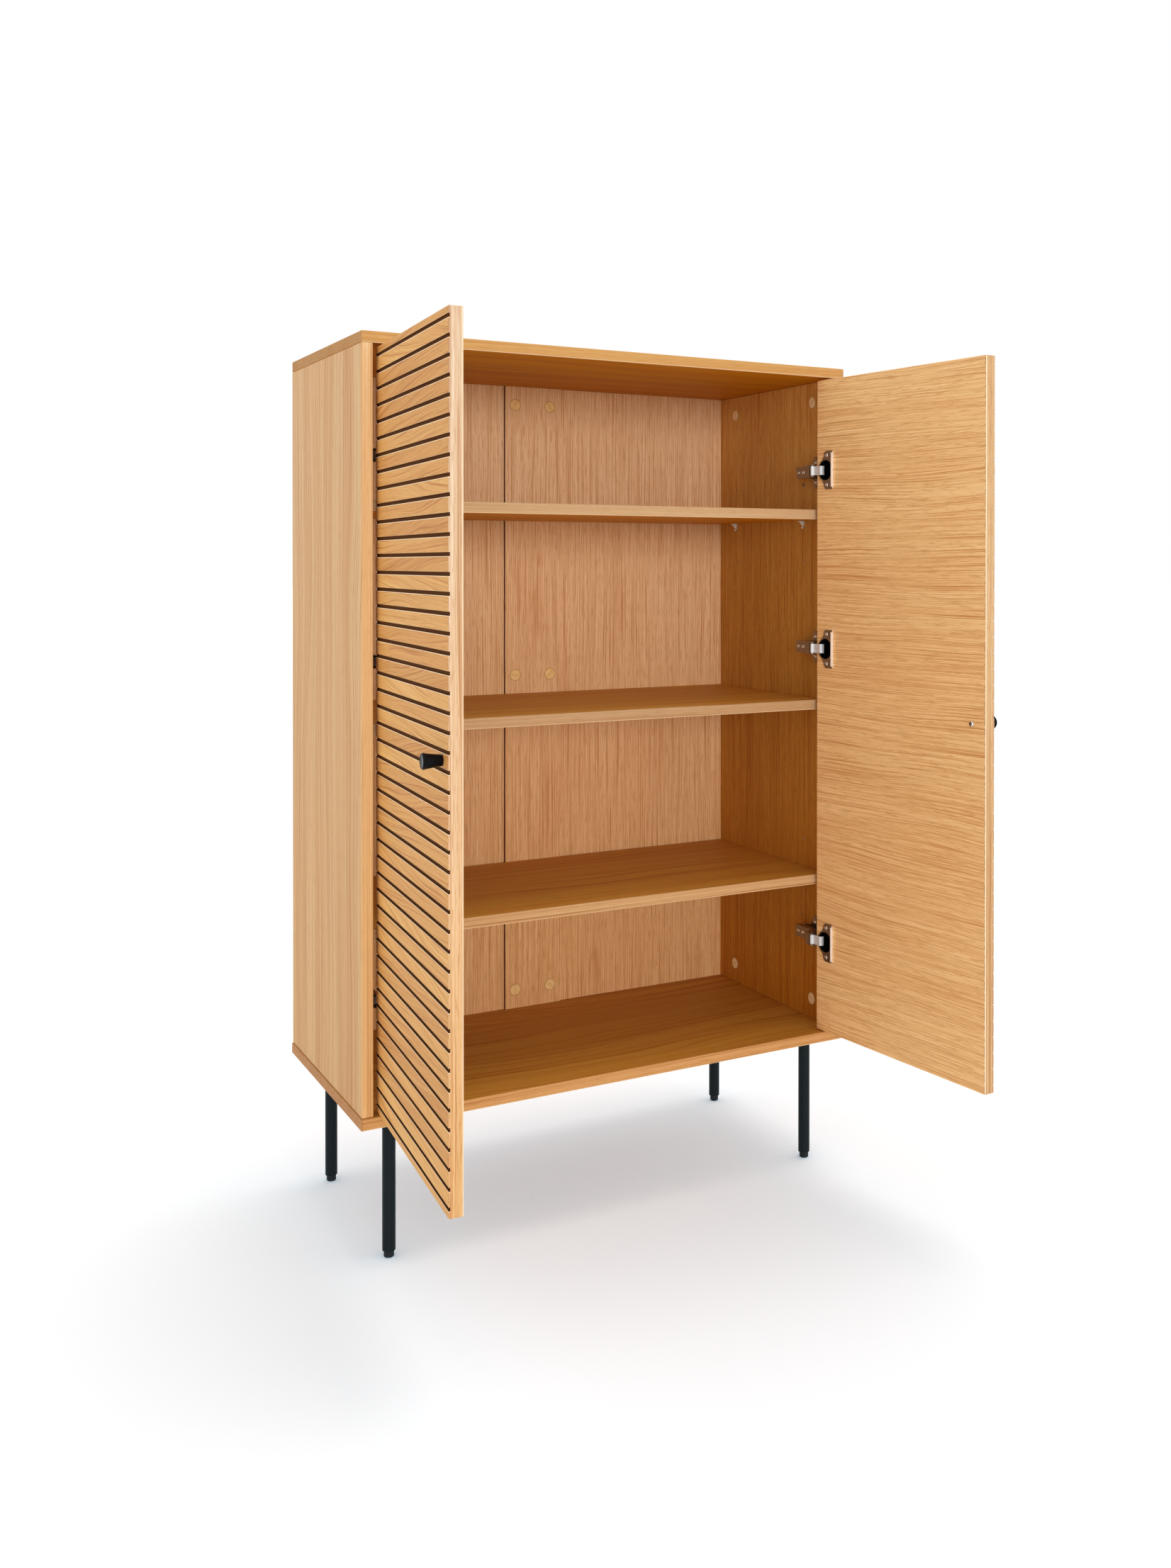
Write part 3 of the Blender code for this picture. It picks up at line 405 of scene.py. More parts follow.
class Tree:
    """One material's nodes, put together with short calls."""

    def __init__(self, name):
        self.material = bpy.data.materials.new(name)
        self.material.use_nodes = True
        self.nodes = self.material.node_tree.nodes
        self.links = self.material.node_tree.links
        self.nodes.clear()

    def feed(self, socket, value):
        if isinstance(value, bpy.types.NodeSocket):
            self.links.new(value, socket)
        else:
            socket.default_value = value

    def node(self, kind, inputs=None, **settings):
        made = self.nodes.new("ShaderNode" + kind)
        for name, value in settings.items():
            setattr(made, name, value)
        for name, value in (inputs or {}).items():
            self.feed(made.inputs[name], value)
        return made

    def maths(self, operation, *values, clamp=False):
        made = self.node("Math", dict(enumerate(values)), operation=operation, use_clamp=clamp)
        return made.outputs[0]

    def vector(self, operation, *values):
        return self.node("VectorMath", dict(enumerate(values)), operation=operation).outputs[0]

    def blend(self, factor, first, second, mode="MIX"):
        inputs = {MIX_FACTOR: factor, MIX_FIRST: first, MIX_SECOND: second}
        made = self.node("Mix", inputs, data_type="RGBA", blend_type=mode)
        return made.outputs[MIX_RESULT]

    def tinted(self, colour, tint):
        return self.blend(1.0, colour, tint, "MULTIPLY")

    def ramp(self, value, start, full):
        """0 where the value hasn't reached start, 1 where it is past full, which may be lower."""
        made = self.node(
            "MapRange",
            {"Value": value, "From Min": start, "From Max": full},
            interpolation_type="SMOOTHSTEP",
        )
        return made.outputs[0]

    def waver(self, share, mean, swing):
        """A number that follows a share from half a swing under its mean to half a swing over."""
        return self.maths("MULTIPLY_ADD", share, swing, mean - swing / 2)

    def noise(self, place, scales, detail=2.0, roughness=0.5):
        made = self.node(
            "TexNoise",
            {
                "Vector": self.vector("MULTIPLY", place, scales),
                "Scale": 1.0,
                "Detail": detail,
                "Roughness": roughness,
                "Distortion": 0.0,
            },
        )
        return made.outputs[0]

    def even_noise(self, scale, detail):
        return self.noise(self.place(), (scale, scale, scale), detail)

    def place(self):
        return self.node("TexCoord").outputs["Object"]

    def parts(self, place):
        return self.node("SeparateXYZ", {0: place}).outputs

    def same(self, kind, value):
        """One value in all three channels of a vector or a colour."""
        return self.node(kind, {0: value, 1: value, 2: value}).outputs[0]

    def surface(self, colour, roughness, height, bump, reach=0.0005, **more):
        """Ends the tree. More gives other sockets of the shader, by name."""
        inputs = {"Base Color": colour, "Roughness": roughness}
        inputs.update({name.replace("_", " "): value for name, value in more.items()})
        inputs["Normal"] = self.node(
            "Bump", {"Strength": bump, "Distance": reach, "Height": height}
        ).outputs[0]
        shader = self.node("BsdfPrincipled", inputs)
        self.node("OutputMaterial", {0: shader.outputs[0]})
        return self.material


def shut_place(tree, label):
    """Where a point of an open door is once that door is shut."""
    side = SIDES[label]
    return tree.node(
        "VectorRotate",
        {
            "Vector": tree.place(),
            "Center": (side * AXIS_X, AXIS_Y, 0.0),
            "Angle": -side * OPEN_ANGLES[label],
        },
        rotation_type="Z_AXIS",
    ).outputs[0]


# Wood

def stretched(grain, across, along):
    """Scales that draw a pattern out along the grain's axis."""
    return tuple(along if axis == grain else across for axis in range(3))


def oak(
    tree, place, grain, across, mean, seed,
    lines=200.0, run=1.3, warp=0.03, figure=3.0, strength=1.0, strips=1.0,
):
    """Oak veneer with its grain along one axis and its lines side by side across another.

    Lines and run are the scales of the lines' noise across and along the grain: a high run
    makes them short. Warp is how far they wander and figure how often, strength how plain they
    are, and strips how far the broad strips differ. Gives the colour and the height of the pores.
    """
    place = tree.vector("ADD", place, tuple(seed * step for step in SEED_STEPS))
    drift_scales = stretched(grain, figure * DRIFT_ACROSS, figure * DRIFT_ALONG)
    drift = tree.noise(place, drift_scales, detail=1.5, roughness=0.4)
    sideways = tuple(warp * DRIFT_SWING if axis == across else 0.0 for axis in range(3))
    moved = tree.vector("MULTIPLY_ADD", tree.same("CombineXYZ", drift), sideways, place)
    broad = tree.noise(moved, stretched(grain, STRIPS_ACROSS, STRIPS_ALONG))
    streaks = tree.noise(moved, stretched(grain, lines, run), detail=3.0, roughness=0.7)
    fibres = tree.noise(place, stretched(grain, FIBRES_ACROSS, FIBRES_ALONG), roughness=0.6)

    def marked(noise, span, most):
        return tree.maths("MULTIPLY", tree.ramp(noise, *span), most * strength, clamp=True)

    dark_lines = marked(streaks, DARK_LINE_SPAN, LINE_STRENGTH)
    pale_lines = marked(streaks, PALE_LINE_SPAN, LINE_STRENGTH)
    specks = marked(fibres, SPECK_SPAN, SPECK_STRENGTH)
    pink = shifted(mean, PINK_STRIP, strips)
    yellow = shifted(mean, YELLOW_STRIP, strips)
    colour = tree.blend(tree.ramp(broad, *STRIP_SPAN), pink, yellow)
    colour = tree.blend(dark_lines, colour, scaled(mean, *DARK_LINE))
    colour = tree.blend(pale_lines, colour, scaled(mean, *PALE_LINE))
    colour = tree.blend(specks, colour, scaled(mean, *SPECK))
    lowered = tree.maths("MULTIPLY", dark_lines, LINE_HEIGHT)
    return colour, tree.maths("MULTIPLY_ADD", fibres, FIBRE_HEIGHT, lowered)


def shaded_to_floor(tree, z, colour, tint=OUTER_FALL, start=FALL_START, end=FALL_END):
    """Wood with painted shade: its colour takes on a darker tint towards the floor, as in the
    photograph.
    """
    return tree.blend(tree.ramp(z, start, end), colour, tree.tinted(colour, tint))


def wood_surface(tree, colour, height, roughness=WOOD_ROUGHNESS):
    return tree.surface(colour, roughness, height, bump=0.12, Specular_IOR_Level=0.15)


def side_panel_material(label, side):
    """A side panel: its outer face, its inner face and its lipped front edge."""
    tree = Tree(label + "_side_panel_oak")
    place = tree.place()
    x, y, z = tree.parts(place)
    outer, height = oak(tree, place, Z, Y, OUTSIDE, seed=3 + side, **OUTER_GRAIN)
    inner, _ = oak(tree, place, Z, Y, INNER_SIDE, seed=7 + side, **INNER_GRAIN)
    lip, _ = oak(tree, place, Z, X, SIDE_LIP, seed=11 + side, **LIP_GRAIN)
    outer = shaded_to_floor(tree, z, outer)
    # Painted light at the top of the inner face, and painted shade deepening below it
    inner = shaded_to_floor(tree, z, inner, INNER_TOP_FALL, INNER_TOP_START, INNER_TOP_END)
    inner = shaded_to_floor(tree, z, inner, INNER_LOW_FALL, INNER_LOW_START, FALL_END)
    inside = tree.maths("LESS_THAN", tree.maths("MULTIPLY", x, side), SIDE_INNER + 2 * SLACK)
    colour = tree.blend(inside, outer, inner)
    in_front = tree.maths("LESS_THAN", y, CASE_FRONT + LIPPING)
    colour = tree.blend(in_front, colour, shaded_to_floor(tree, z, lip))
    return wood_surface(tree, colour, height)


def board_material(name, front, top, bottom, lip, seed):
    """A level board: its top, its underside, its lipped front edge and its ends."""
    tree = Tree(name + "_oak")
    place = tree.place()
    x, y, z = tree.parts(place)
    low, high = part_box(name)
    upper, height = oak(tree, place, X, Y, top, seed=seed)
    lower, _ = oak(tree, place, X, Y, bottom, seed=seed + 5)
    edge, _ = oak(tree, place, X, Z, lip, seed=seed + 9, **LIP_GRAIN)
    colour = tree.blend(tree.maths("GREATER_THAN", z, (low.z + high.z) / 2), lower, upper)
    # Painted highlight along the board's lower front arris
    highlit_arris = tree.maths("MULTIPLY", tree.maths("LESS_THAN", z, low.z + ARRIS), ARRIS_HIGHLIGHT_SHARE)
    in_front = tree.maths("LESS_THAN", y, front + LIPPING)
    colour = tree.blend(in_front, colour, tree.blend(highlit_arris, edge, ARRIS_HIGHLIGHT))
    ends = tree.maths("GREATER_THAN", tree.maths("ABSOLUTE", x), CASE_WIDTH / 2 - BOARD_END_SKIN)
    colour = tree.blend(ends, colour, tree.tinted(edge, BOARD_END))
    return wood_surface(tree, shaded_to_floor(tree, z, colour), height)


def back_material(name, seed, seam=None):
    """A panel or rail of the back. Seam is where a line of painted shade along its left edge starts,
    for the gap at the seam.
    """
    tree = Tree(name + "_oak")
    place = tree.place()
    x, _, z = tree.parts(place)
    colour, height = oak(tree, place, Z, X, BACK, seed=seed, **BACK_GRAIN)
    if seam is not None:
        colour = tree.blend(tree.maths("LESS_THAN", x, seam + SEAM_WIDTH), colour, SEAM_SHADE)
    return wood_surface(tree, shaded_to_floor(tree, z, colour, BACK_FALL), height)


def slat_wood(tree, shut, slat, side):
    """The outer face of a door, where each slat is a board of its own tone and grain."""
    number = tree.maths("ADD", slat, DOOR_NUMBER_STEP * side)
    chance = tree.node("TexWhiteNoise", {"W": number}, noise_dimensions="1D").outputs
    off_middle = tree.maths("SUBTRACT", chance["Value"], MIDDLE_CHANCE)
    lean = tree.maths("MULTIPLY", off_middle, tree.parts(shut)[X])
    lean = tree.node("CombineXYZ", {Z: tree.maths("MULTIPLY", lean, SLAT_LEAN)}).outputs[0]
    place = tree.vector("MULTIPLY_ADD", chance["Color"], SLAT_JUMP, shut)
    place = tree.vector("ADD", place, lean)
    face, height = oak(tree, place, X, Z, DOOR_FACE, seed=17 + side, **SLAT_GRAIN)
    lift = tree.waver(chance["Value"], mean=1.0, swing=SLAT_SWING)
    face = tree.tinted(face, tree.same("CombineColor", lift))
    hue = tree.blend(tree.parts(chance["Color"])[X], RED_SLAT, YELLOW_SLAT)
    return tree.tinted(face, hue), height


def door_material(label, side):
    """Worked out for the shut door, so that the pattern keeps to the slats."""
    tree = Tree(label + "_door_oak")
    shut = shut_place(tree, label)
    x, y, z = tree.parts(shut)
    rise = tree.maths("SUBTRACT", z, DOOR_BOTTOM + SLAT_PITCH / 2)
    rise = tree.maths("DIVIDE", rise, SLAT_PITCH)
    slat = tree.maths("FLOOR", rise)
    above = tree.maths("MULTIPLY", tree.maths("SUBTRACT", rise, slat), SLAT_PITCH)
    below = tree.maths("SUBTRACT", SLAT_PITCH, above)
    deep = tree.maths("SUBTRACT", y, CASE_FRONT)
    from_end = tree.maths("SUBTRACT", tree.maths("MULTIPLY", x, side), DOOR_FREE_EDGE)

    # The two faces
    face, height = slat_wood(tree, shut, slat, side)
    inner, _ = oak(tree, shut, X, Z, DOOR_INNER, seed=23 + side, **DOOR_INNER_GRAIN)
    colour = tree.blend(tree.maths("GREATER_THAN", deep, DOOR_THICKNESS / 2), face, inner)

    # The lipping of the free edge, its broken glue line and a painted highlight on its inner corner
    joint = tree.maths("LESS_THAN", from_end, LIPPING + GLUE_WIDTH)
    dashes = tree.ramp(tree.noise(shut, GLUE_DASHES), *GLUE_DASH_SPAN)
    colour = tree.blend(tree.maths("MULTIPLY", joint, dashes), colour, GLUE_LINE)
    lip, _ = oak(tree, shut, Z, Y, DOOR_LIPS[label], seed=29 + side, **DOOR_LIP_GRAIN)
    lip = shaded_to_floor(tree, z, lip, DOOR_LIP_FALLS[label])
    colour = tree.blend(tree.maths("LESS_THAN", from_end, LIPPING), colour, lip)
    corner = tree.maths("GREATER_THAN", deep, DOOR_THICKNESS - DOOR_CORNER)
    corner = tree.maths("MULTIPLY", corner, tree.maths("LESS_THAN", from_end, ARRIS))
    colour = tree.blend(corner, colour, ARRIS_HIGHLIGHT)

    # The grooves: a dark colour that is partly their own and partly painted shade, spread over their
    # eased mouths, and painted highlights along their edges
    in_front = tree.maths("LESS_THAN", deep, GROOVE_DEPTH + SLACK)
    lit = tree.maths("LESS_THAN", below, GROOVE_WIDTH / 2 + LIT_UNDER_GROOVE)
    faint = tree.maths("LESS_THAN", above, GROOVE_WIDTH / 2 + LIT_OVER_GROOVE)
    faint = tree.maths("MULTIPLY", faint, FAINT_SHARE)
    lit = tree.maths("MULTIPLY", in_front, tree.maths("MAXIMUM", lit, faint))
    colour = tree.blend(lit, colour, ARRIS_HIGHLIGHT)
    # Painted shade: the dark colour reaches over each groove's eased mouth
    from_groove = tree.maths("MINIMUM", above, below)
    groove = tree.maths("LESS_THAN", from_groove, GROOVE_WIDTH / 2 + GROOVE_EASE + SLACK)
    groove = tree.maths("MULTIPLY", in_front, groove)
    streak = tree.noise(shut, GROOVE_STREAKS, detail=1.0)
    inside = tree.blend(streak, toned(GROOVE, GROOVE_DARK), toned(GROOVE, GROOVE_LIGHT))
    colour = tree.blend(groove, colour, inside)
    rough = tree.maths("MULTIPLY_ADD", groove, GROOVE_ROUGHER, WOOD_ROUGHNESS)
    return wood_surface(tree, colour, height, rough)


def cap_material(name, colour):
    tree = Tree(name)
    place = tree.place()
    turned = tree.node(
        "VectorRotate", {"Vector": place, "Angle": CAP_GRAIN_TURN}, rotation_type="Z_AXIS"
    ).outputs[0]
    wood, height = oak(tree, turned, X, Y, colour, seed=41, **CAP_GRAIN)
    away = tree.node("VectorMath", {0: place}, operation="LENGTH").outputs["Value"]
    # Painted shade round the rim, where the cap meets the panel
    rim = tree.maths("GREATER_THAN", away, CAP_RADIUS - CAP_RIM_SHADE_WIDTH)
    wood = tree.blend(rim, wood, scaled(colour, *CAP_RIM_SHADE))
    return tree.surface(wood, CAP_ROUGHNESS, height, bump=0.08, Specular_IOR_Level=0.2)


# Metal and plastic

def cup_shade_and_highlight(tree, label, shade, rough):
    """A hinge cup gets painted shade below the door's inner face, and a painted highlight along its
    flange's folded lip.
    """
    shut = tree.parts(shut_place(tree, label))
    hollow_shade = tree.maths("LESS_THAN", shut[Y], DOOR_INSIDE + SLACK)
    lip_end = DOOR_EDGE - CUP_FROM_EDGE - FLANGE_FRONT + FLANGE_LIP_THICKNESS + SLACK
    lip = tree.maths("LESS_THAN", tree.maths("MULTIPLY", shut[X], SIDES[label]), lip_end)
    shade = tree.blend(hollow_shade, shade, CUP_HOLLOW_SHADE)
    shade = tree.blend(lip, shade, CUP_LIP_HIGHLIGHT)
    rough = tree.maths("MULTIPLY_ADD", lip, CUP_ROUGHER, rough)
    rough = tree.maths("MULTIPLY_ADD", hollow_shade, CUP_ROUGHER, rough)
    return shade, rough


def metal_material(name, colour, roughness, metallic, cup_of=None):
    """Plated steel, a little cloudy and brushed. The cups of a door also get painted shade and a
    painted highlight.
    """
    tree = Tree(name)
    cloud = tree.even_noise(90.0, detail=3.0)
    shade = tree.blend(cloud, toned(colour, METAL_DARK), toned(colour, METAL_LIGHT))
    rough = tree.waver(cloud, roughness, swing=0.18)
    if cup_of is not None:
        shade, rough = cup_shade_and_highlight(tree, cup_of, shade, rough)
    height = tree.noise(tree.place(), BRUSHING)
    return tree.surface(shade, rough, height, bump=0.06, reach=0.0002, Metallic=metallic)


def black_coat_material():
    tree = Tree("black_powder_coat")
    speckle = tree.even_noise(1500.0, detail=2.0)
    colour = tree.blend(speckle, *BLACK_COAT)
    rough = tree.waver(speckle, mean=0.455, swing=0.15)
    return tree.surface(colour, rough, speckle, bump=0.15, reach=0.0002, Specular_IOR_Level=0.1)


def plastic_material(name, colours, roughness, gloss):
    tree = Tree(name)
    cloud = tree.even_noise(160.0, detail=3.0)
    height = tree.even_noise(2200.0, detail=1.0)
    rough = tree.waver(cloud, roughness, swing=0.16)
    colour = tree.blend(cloud, *colours)
    return tree.surface(colour, rough, height, bump=0.08, reach=0.0001, Specular_IOR_Level=gloss)


def clear_material():
    tree = Tree("clear_plastic")
    cloud = tree.even_noise(220.0, detail=2.0)
    rough = tree.waver(cloud, mean=0.08, swing=0.12)
    return tree.surface((1.0, 1.0, 1.0, 1), rough, cloud, bump=0.1, reach=0.0002, **CLEAR_PLASTIC)


# Meshes

def ring(work, radius, height, steps):
    return [
        work.verts.new((radius * math.cos(t), radius * math.sin(t), height))
        for t in (2 * math.pi * k / steps for k in range(steps))
    ]


def bridge(work, lower, upper):
    count = len(lower)
    for k in range(count):
        n = (k + 1) % count
        work.faces.new((lower[k], lower[n], upper[n], upper[k]))


def turned_form(work, outline, steps):
    """Rings at an outline's radii and heights, closed where it starts. Gives the last ring."""
    rings = [ring(work, radius, height, steps) for radius, height in outline]
    work.faces.new(reversed(rings[0]))
    for lower, upper in zip(rings, rings[1:]):
        bridge(work, lower, upper)
    return rings[-1]


def finish_mesh(name, work):
    mesh = bpy.data.meshes.new(name)
    work.normal_update()
    work.to_mesh(mesh)
    work.free()
    mesh.shade_smooth()
    mesh.set_sharp_from_angle(angle=SHARP_ANGLE)
    return mesh


def cross_ring(work, reach, half, height, steps):
    """The outline of a cross recess, met along each of the head's spokes."""
    points = []
    for k in range(steps):
        t = 2 * math.pi * k / steps
        shorter, longer = sorted((abs(math.cos(t)), abs(math.sin(t))))
        radius = min(reach / longer, half / max(shorter, LEAST_COSINE))
        points.append(work.verts.new((radius * math.cos(t), radius * math.sin(t), height)))
    return points


def screw_mesh(name, head, height, shank, reach, recess_share=RECESS_SHARE):
    """A screw with a low domed head and a cross recess. Its head stands up from zero."""
    work = bmesh.new()
    outline = [(shank / 2 * across, -reach * down) for across, down in SHANK_SHARES]
    outline += [(head / 2 * across, height * up) for across, up in HEAD_SHARES]
    rim = turned_form(work, outline, SCREW_STEPS)
    recess = head / 2 * recess_share
    top = cross_ring(work, recess, recess * RECESS_ARM_SHARE, height, SCREW_STEPS)
    floor = cross_ring(
        work,
        recess * RECESS_FLOOR_SHARE,
        recess * RECESS_FLOOR_ARM_SHARE,
        height * RECESS_FLOOR_HEIGHT_SHARE,
        SCREW_STEPS,
    )
    bridge(work, rim, top)
    bridge(work, top, floor)
    work.faces.new(floor)
    return finish_mesh(name, work)


def cap_mesh(name):
    """A thin round cover cap with a rounded rim. It faces up from zero."""
    work = bmesh.new()
    outline = [(CAP_RADIUS, -CAP_SINK)]
    for inset, share in zip(CAP_RIM_INSETS, CAP_RIM_HEIGHT_SHARES):
        outline.append((CAP_RADIUS - inset, CAP_THICKNESS * share))
    work.faces.new(turned_form(work, outline, CAP_STEPS))
    return finish_mesh(name, work)


def slab(work, outline, width):
    """A flat outline, drawn in x and z, made thick across y."""
    near, far = (
        [work.verts.new((x, y, z)) for x, z in outline] for y in (-width / 2, width / 2)
    )
    work.faces.new(near)
    work.faces.new(reversed(far))
    bridge(work, far, near)


def level_box(near, far, top, bottom):
    return [(near, top), (far, top), (far, bottom), (near, bottom)]


def shelf_pin_mesh():
    """A clear pin: a peg, a plate on the panel, a tongue under the shelf, a web and a bead."""
    work = bmesh.new()
    slab(work, level_box(SEAT_GAP, PIN_PLATE, -SEAT_GAP, -PIN_PLATE_DROP), PIN_PLATE_WIDTH)
    slab(work, level_box(PIN_PLATE, PIN_TONGUE_REACH, 0, -PIN_TONGUE), PIN_TONGUE_WIDTH)
    web = [
        (PIN_PLATE, -PIN_TONGUE),
        (PIN_WEB_REACH, -PIN_TONGUE),
        (PIN_WEB_TOE, -PIN_WEB_TOE_DROP),
        (PIN_PLATE, -PIN_PLATE_DROP),
    ]
    slab(work, web, PIN_WEB)
    bead = (PIN_PLATE + PIN_BEAD_RADIUS / 2, 0, -PIN_PLATE_DROP - PIN_BEAD_RADIUS)
    bmesh.ops.create_uvsphere(
        work,
        u_segments=PIN_STEPS,
        v_segments=BEAD_RINGS,
        radius=PIN_BEAD_RADIUS,
        matrix=Matrix.Translation(bead),
    )
    peg = Matrix.Translation(((SEAT_GAP - PIN_LENGTH) / 2, 0, -PIN_AXIS_DROP))
    bmesh.ops.create_cone(
        work,
        cap_ends=True,
        segments=PIN_STEPS,
        radius1=PIN_RADIUS,
        radius2=PIN_RADIUS,
        depth=PIN_LENGTH + SEAT_GAP,
        matrix=peg @ Matrix.Rotation(math.pi / 2, 4, "Y"),
    )
    bmesh.ops.recalc_face_normals(work, faces=work.faces)
    return finish_mesh("clear_shelf_pin", work)


# Pieces

def facing(point, direction, turn=0.0):
    """Puts a piece that was made facing up at a point, facing a direction."""
    aim = Vector(direction).normalized().to_track_quat("Z", "Y").to_matrix().to_4x4()
    return Matrix.Translation(Vector(point)) @ aim @ Matrix.Rotation(turn, 4, "Z")


def opened(label, place):
    """Where a place on the shut door is with the door as the photograph shows it."""
    side = SIDES[label]
    pivot = Vector((side * AXIS_X, AXIS_Y, 0))
    from_pivot = Matrix.Translation(-pivot) @ place
    return Matrix.Translation(pivot) @ Matrix.Rotation(side * OPEN_ANGLES[label], 4, "Z") @ from_pivot


def add_piece(name, mesh, material, body, matrix):
    piece = bpy.data.objects.new(name, mesh)
    bpy.context.scene.collection.objects.link(piece)
    if not mesh.materials:
        mesh.materials.append(material)
    piece.matrix_world = matrix
    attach(piece, body)
    return piece


def add_case_screw(name, mesh, material, side, point, turn):
    """A screw of the case that faces in from its side."""
    add_piece(name, mesh, material, "case", facing(point, (-side, 0, 0), turn))


def add_door_screw(name, mesh, material, label, point, turn):
    """A screw on a door's inner face. Its point is given for the shut door."""
    matrix = opened(label, facing(point, (0, 1, 0), turn))
    return add_piece(name, mesh, material, label + "_door", matrix)


def add_hinge_screws(material):
    tab = screw_mesh("tab_screw", **TAB_SCREW)
    plate = screw_mesh("plate_screw", **PLATE_SCREW)
    arm = screw_mesh("arm_screw", **ARM_SCREW)
    for label, side in SIDES.items():
        plate_x = side * (SIDE_INNER - PLATE_THICKNESS)
        plate_y = CASE_FRONT + PLATE_SCREWS_BACK
        tab_x = side * (DOOR_EDGE - CUP_FROM_EDGE - TAB_SCREW_OFFSET)
        tab_y = DOOR_INSIDE + FLANGE_THICKNESS
        for level, height in HINGE_HEIGHTS.items():
            stem = f"{label}_{level}"
            for row, way in (("lower", -1), ("upper", 1)):
                point = (plate_x, plate_y, height + way * PLATE_SCREW_PITCH / 2)
                turn = way * PLATE_SCREW_TURN
                add_case_screw(f"{stem}_{row}_plate_screw", plate, material, side, point, turn)
                point = (tab_x, tab_y, height + way * TAB_SCREW_PITCH / 2)
                turn = way * TAB_SCREW_TURN
                add_door_screw(f"{stem}_{row}_tab_screw", tab, material, label, point, turn)
            for column, back in ARM_SCREWS_BACK.items():
                point = (side * (SIDE_INNER - ARM_RISE), CASE_FRONT + back, height)
                turn = ARM_SCREW_TURNS[column]
                add_case_screw(f"{stem}_{column}_arm_screw", arm, material, side, point, turn)


def add_knob_screws(material):
    mesh = screw_mesh("knob_screw", **KNOB_SCREW)
    for label, side in SIDES.items():
        node = label + "_knob_screw"
        point = (side * (DOOR_FREE_EDGE + KNOB_FROM_EDGE), DOOR_INSIDE + SEAT_GAP, DOOR_MIDDLE)
        piece = add_door_screw(node + "_detailed", mesh, material, label, point, KNOB_SCREW_TURN)
        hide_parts(node)


def add_shelf_pins(material):
    mesh = shelf_pin_mesh()
    places = [
        (label, row, column)
        for label in SIDES
        for row in ("upper", "lower")
        for column in ("front", "rear")
    ]
    for label, row, column in places:
        node = f"{row}_{column}_{label}_shelf_pin"
        low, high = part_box(node)
        matrix = Matrix.Translation((SIDES[label] * SIDE_INNER, (low.y + high.y) / 2, high.z))
        if label == "right":
            matrix = matrix @ Matrix.Rotation(math.pi, 4, "Z")
        piece = add_piece(node + "_detailed", mesh, material, "case", matrix)
        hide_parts(node)


def side_cap_places():
    """The name, point and direction of each cap inside the case's sides."""
    rows = {"upper": CEILING - SIDE_CAP_FROM_BOARD, "lower": FLOOR_TOP + SIDE_CAP_FROM_BOARD}
    columns = {"front": CASE_FRONT + SIDE_CAP_FROM_FRONT, "rear": CASE_REAR - SIDE_CAP_FROM_REAR}
    return [
        (f"{label}_{row}_{column}_cover_cap", (side * SIDE_INNER, y, z), (-side, 0, 0))
        for label, side in SIDES.items()
        for row, z in rows.items()
        for column, y in columns.items()
    ]


def back_cap_places():
    """The name, point and direction of each cap on the back rails."""
    rows = {
        "upper": CEILING - BACK_CAP_FROM_BOARD,
        "middle": MIDDLE_SHELF_TOP + BACK_CAP_FROM_BOARD,
        "lower": FLOOR_TOP + BACK_CAP_FROM_BOARD,
    }
    return [
        (
            f"back_{row}_{label}_cover_cap",
            (RAIL_OFFSET + side * BACK_CAP_FROM_MIDDLE, RAIL_FRONT, z),
            (0, -1, 0),
        )
        for row, z in rows.items()
        for label, side in SIDES.items()
    ]


def add_caps():
    on_side = (cap_mesh("side_cover_cap"), cap_material("side_cover_cap_oak", SIDE_CAP), "oak_veneer")
    on_back = (cap_mesh("back_cover_cap"), cap_material("back_cover_cap_oak", BACK_CAP), "oak_back")
    caps = [(place, on_side) for place in side_cap_places()]
    caps += [(place, on_back) for place in back_cap_places()]
    for k, ((name, point, direction), (mesh, material, slot)) in enumerate(caps):
        add_piece(name, mesh, material, "case", facing(point, direction, (k + 1) * CAP_TURN))


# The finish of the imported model's own nodes

def dress(node, material):
    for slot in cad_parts[node].material_slots:
        slot.material = material


def dress_board(name, **looks):
    dress(name, board_material(name, **looks))


def dress_wood():
    for label, side in SIDES.items():
        dress(label + "_side_panel", side_panel_material(label, side))
        dress(label + "_door", door_material(label, side))
        dress(label + "_back_panel", back_material(label + "_back_panel", seed=50 + side))
    for name, seed in (("upper_back_rail", 54), ("lower_back_rail", 56)):
        dress(name, back_material(name, seed, seam=RAIL_LEFT))
    dress_board(
        "top_panel", front=CASE_FRONT, top=OUTSIDE, bottom=CEILING_WOOD, lip=FRONT_LIP, seed=61
    )
    lip = SHELF_LIPS["bottom_panel"]
    dress_board("bottom_panel", front=BOTTOM_FRONT, top=SHELF_TOP, bottom=OUTSIDE, lip=lip, seed=64)
    for name, seed in (("upper_shelf", 67), ("middle_shelf", 69), ("lower_shelf", 71)):
        lip = SHELF_LIPS[name]
        dress_board(name, front=SHELF_FRONT, top=SHELF_TOP, bottom=CEILING_WOOD, lip=lip, seed=seed)


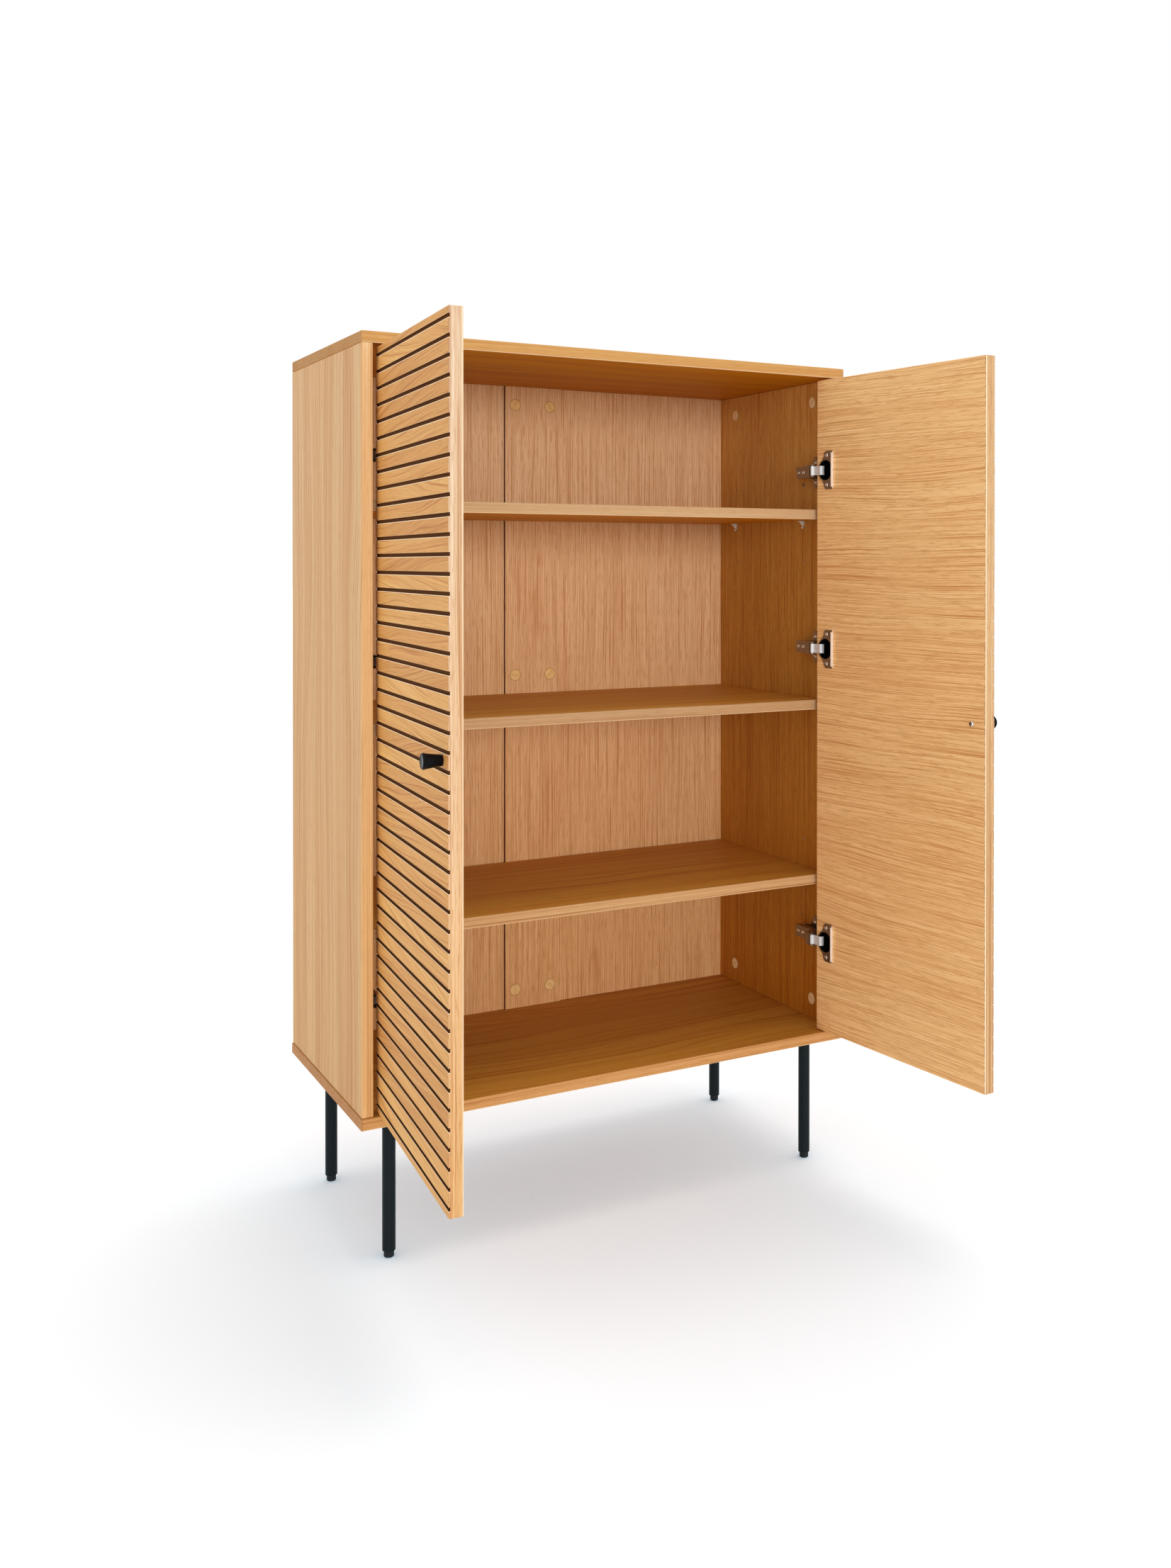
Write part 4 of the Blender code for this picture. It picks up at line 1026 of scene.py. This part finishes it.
def dress_fittings(clear):
    nickel = metal_material("nickel", **NICKEL)
    finishes = {
        "_hinge_arm": nickel,
        "_hinge_mounting_plate": nickel,
        "_knob_screw": nickel,
        "_hinge_link": metal_material("satin_nickel", **SATIN_NICKEL),
        "_leg": black_coat_material(),
        "_knob": plastic_material("black_plastic", **BLACK_PLASTIC),
        "_levelling_foot": plastic_material("foot_plastic", **FOOT_PLASTIC),
        "hole_plug": plastic_material("grey_plastic", **GREY_PLASTIC),
        "_shelf_pin": clear,
    }
    cups = {
        label: metal_material(label + "_cup_nickel", cup_of=label, **NICKEL) for label in SIDES
    }
    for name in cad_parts:
        if name.endswith("_hinge_cup"):
            dress(name, cups[name.split("_")[0]])
        for ending, material in finishes.items():
            if name.endswith(ending):
                dress(name, material)


# Room

def add_floor():
    mesh = bpy.data.meshes.new("floor")
    corners = [(-FLOOR_REACH, -FLOOR_REACH, 0), (FLOOR_REACH, -FLOOR_REACH, 0)]
    corners += [(FLOOR_REACH, FLOOR_REACH, 0), (-FLOOR_REACH, FLOOR_REACH, 0)]
    mesh.from_pydata(corners, [], [(0, 1, 2, 3)])
    floor = bpy.data.objects.new("floor", mesh)
    bpy.context.scene.collection.objects.link(floor)
    tree = Tree("floor_white")
    path = tree.node("LightPath")
    seen = tree.maths("MAXIMUM", path.outputs["Is Camera Ray"], path.outputs["Is Glossy Ray"])
    matt = tree.node("BsdfDiffuse", {"Color": tree.blend(seen, FLOOR_LIT, FLOOR_SEEN)})
    glow = tree.node("Emission", {"Color": FLOOR_GLOW, "Strength": seen})
    both = tree.node("AddShader", {0: matt.outputs[0], 1: glow.outputs[0]})
    tree.node("OutputMaterial", {0: both.outputs[0]})
    mesh.materials.append(tree.material)


def add_sun(name, towards, strength, spread_degrees):
    light = bpy.data.lights.new(name, "SUN")
    light.energy = strength
    light.angle = math.radians(spread_degrees)
    sun = bpy.data.objects.new(name, light)
    bpy.context.scene.collection.objects.link(sun)
    sun.rotation_euler = Vector(towards).to_track_quat("-Z", "Y").to_euler()


def add_world():
    """White all round, a little brighter to the camera and in reflections than as a light."""
    world = bpy.data.worlds.new("room")
    bpy.context.scene.world = world
    world.use_nodes = True
    nodes, links = world.node_tree.nodes, world.node_tree.links
    nodes.clear()
    path = nodes.new("ShaderNodeLightPath")
    seen = nodes.new("ShaderNodeMath")
    seen.operation = "MAXIMUM"
    links.new(path.outputs["Is Camera Ray"], seen.inputs[0])
    links.new(path.outputs["Is Glossy Ray"], seen.inputs[1])
    level = nodes.new("ShaderNodeMapRange")
    level.inputs["To Min"].default_value = WORLD_LIGHT
    level.inputs["To Max"].default_value = WORLD_SEEN
    links.new(seen.outputs[0], level.inputs["Value"])
    sky = nodes.new("ShaderNodeBackground")
    sky.inputs["Color"].default_value = (1, 1, 1, 1)
    links.new(level.outputs[0], sky.inputs["Strength"])
    output = nodes.new("ShaderNodeOutputWorld")
    links.new(sky.outputs[0], output.inputs[0])


def add_camera():
    """At the photograph's place, from a fit of the case's edges."""
    flat = math.cos(CAMERA_PITCH)
    ahead = Vector(
        (math.sin(CAMERA_TURN) * flat, math.cos(CAMERA_TURN) * flat, -math.sin(CAMERA_PITCH))
    )
    right = Vector((math.cos(CAMERA_TURN), -math.sin(CAMERA_TURN), 0))
    up = right.cross(ahead)
    aim = Matrix((right, up, -ahead)).transposed().to_4x4() @ Matrix.Rotation(CAMERA_ROLL, 4, "Z")
    data = bpy.data.cameras.new("camera")
    data.sensor_fit = "AUTO"
    data.sensor_width = SENSOR_MM
    data.lens = LENS_MM
    data.shift_x = (PICTURE_WIDTH / 2 - CENTRE_PIXEL[0]) / PICTURE_HEIGHT
    data.shift_y = (CENTRE_PIXEL[1] - PICTURE_HEIGHT / 2) / PICTURE_HEIGHT
    data.clip_start = CLIP_NEAR
    data.clip_end = CLIP_FAR
    camera = bpy.data.objects.new("camera", data)
    bpy.context.scene.collection.objects.link(camera)
    camera.matrix_world = Matrix.Translation(CAMERA_PLACE) @ aim
    bpy.context.scene.camera = camera


def main():
    add_camera()
    dress_wood()
    clear = clear_material()
    dress_fittings(clear)
    steel = metal_material("screw_steel", **SCREW_STEEL)
    add_hinge_screws(steel)
    add_knob_screws(steel)
    add_shelf_pins(clear)
    add_caps()
    add_floor()
    add_world()
    add_sun("front_light", towards=(0.22, 1.0, -0.05), strength=1.1, spread_degrees=20)
    add_sun("top_light", towards=(-0.20, 0.0, -1.0), strength=0.75, spread_degrees=35)
    bpy.context.scene.view_settings.view_transform = "Standard"


main()
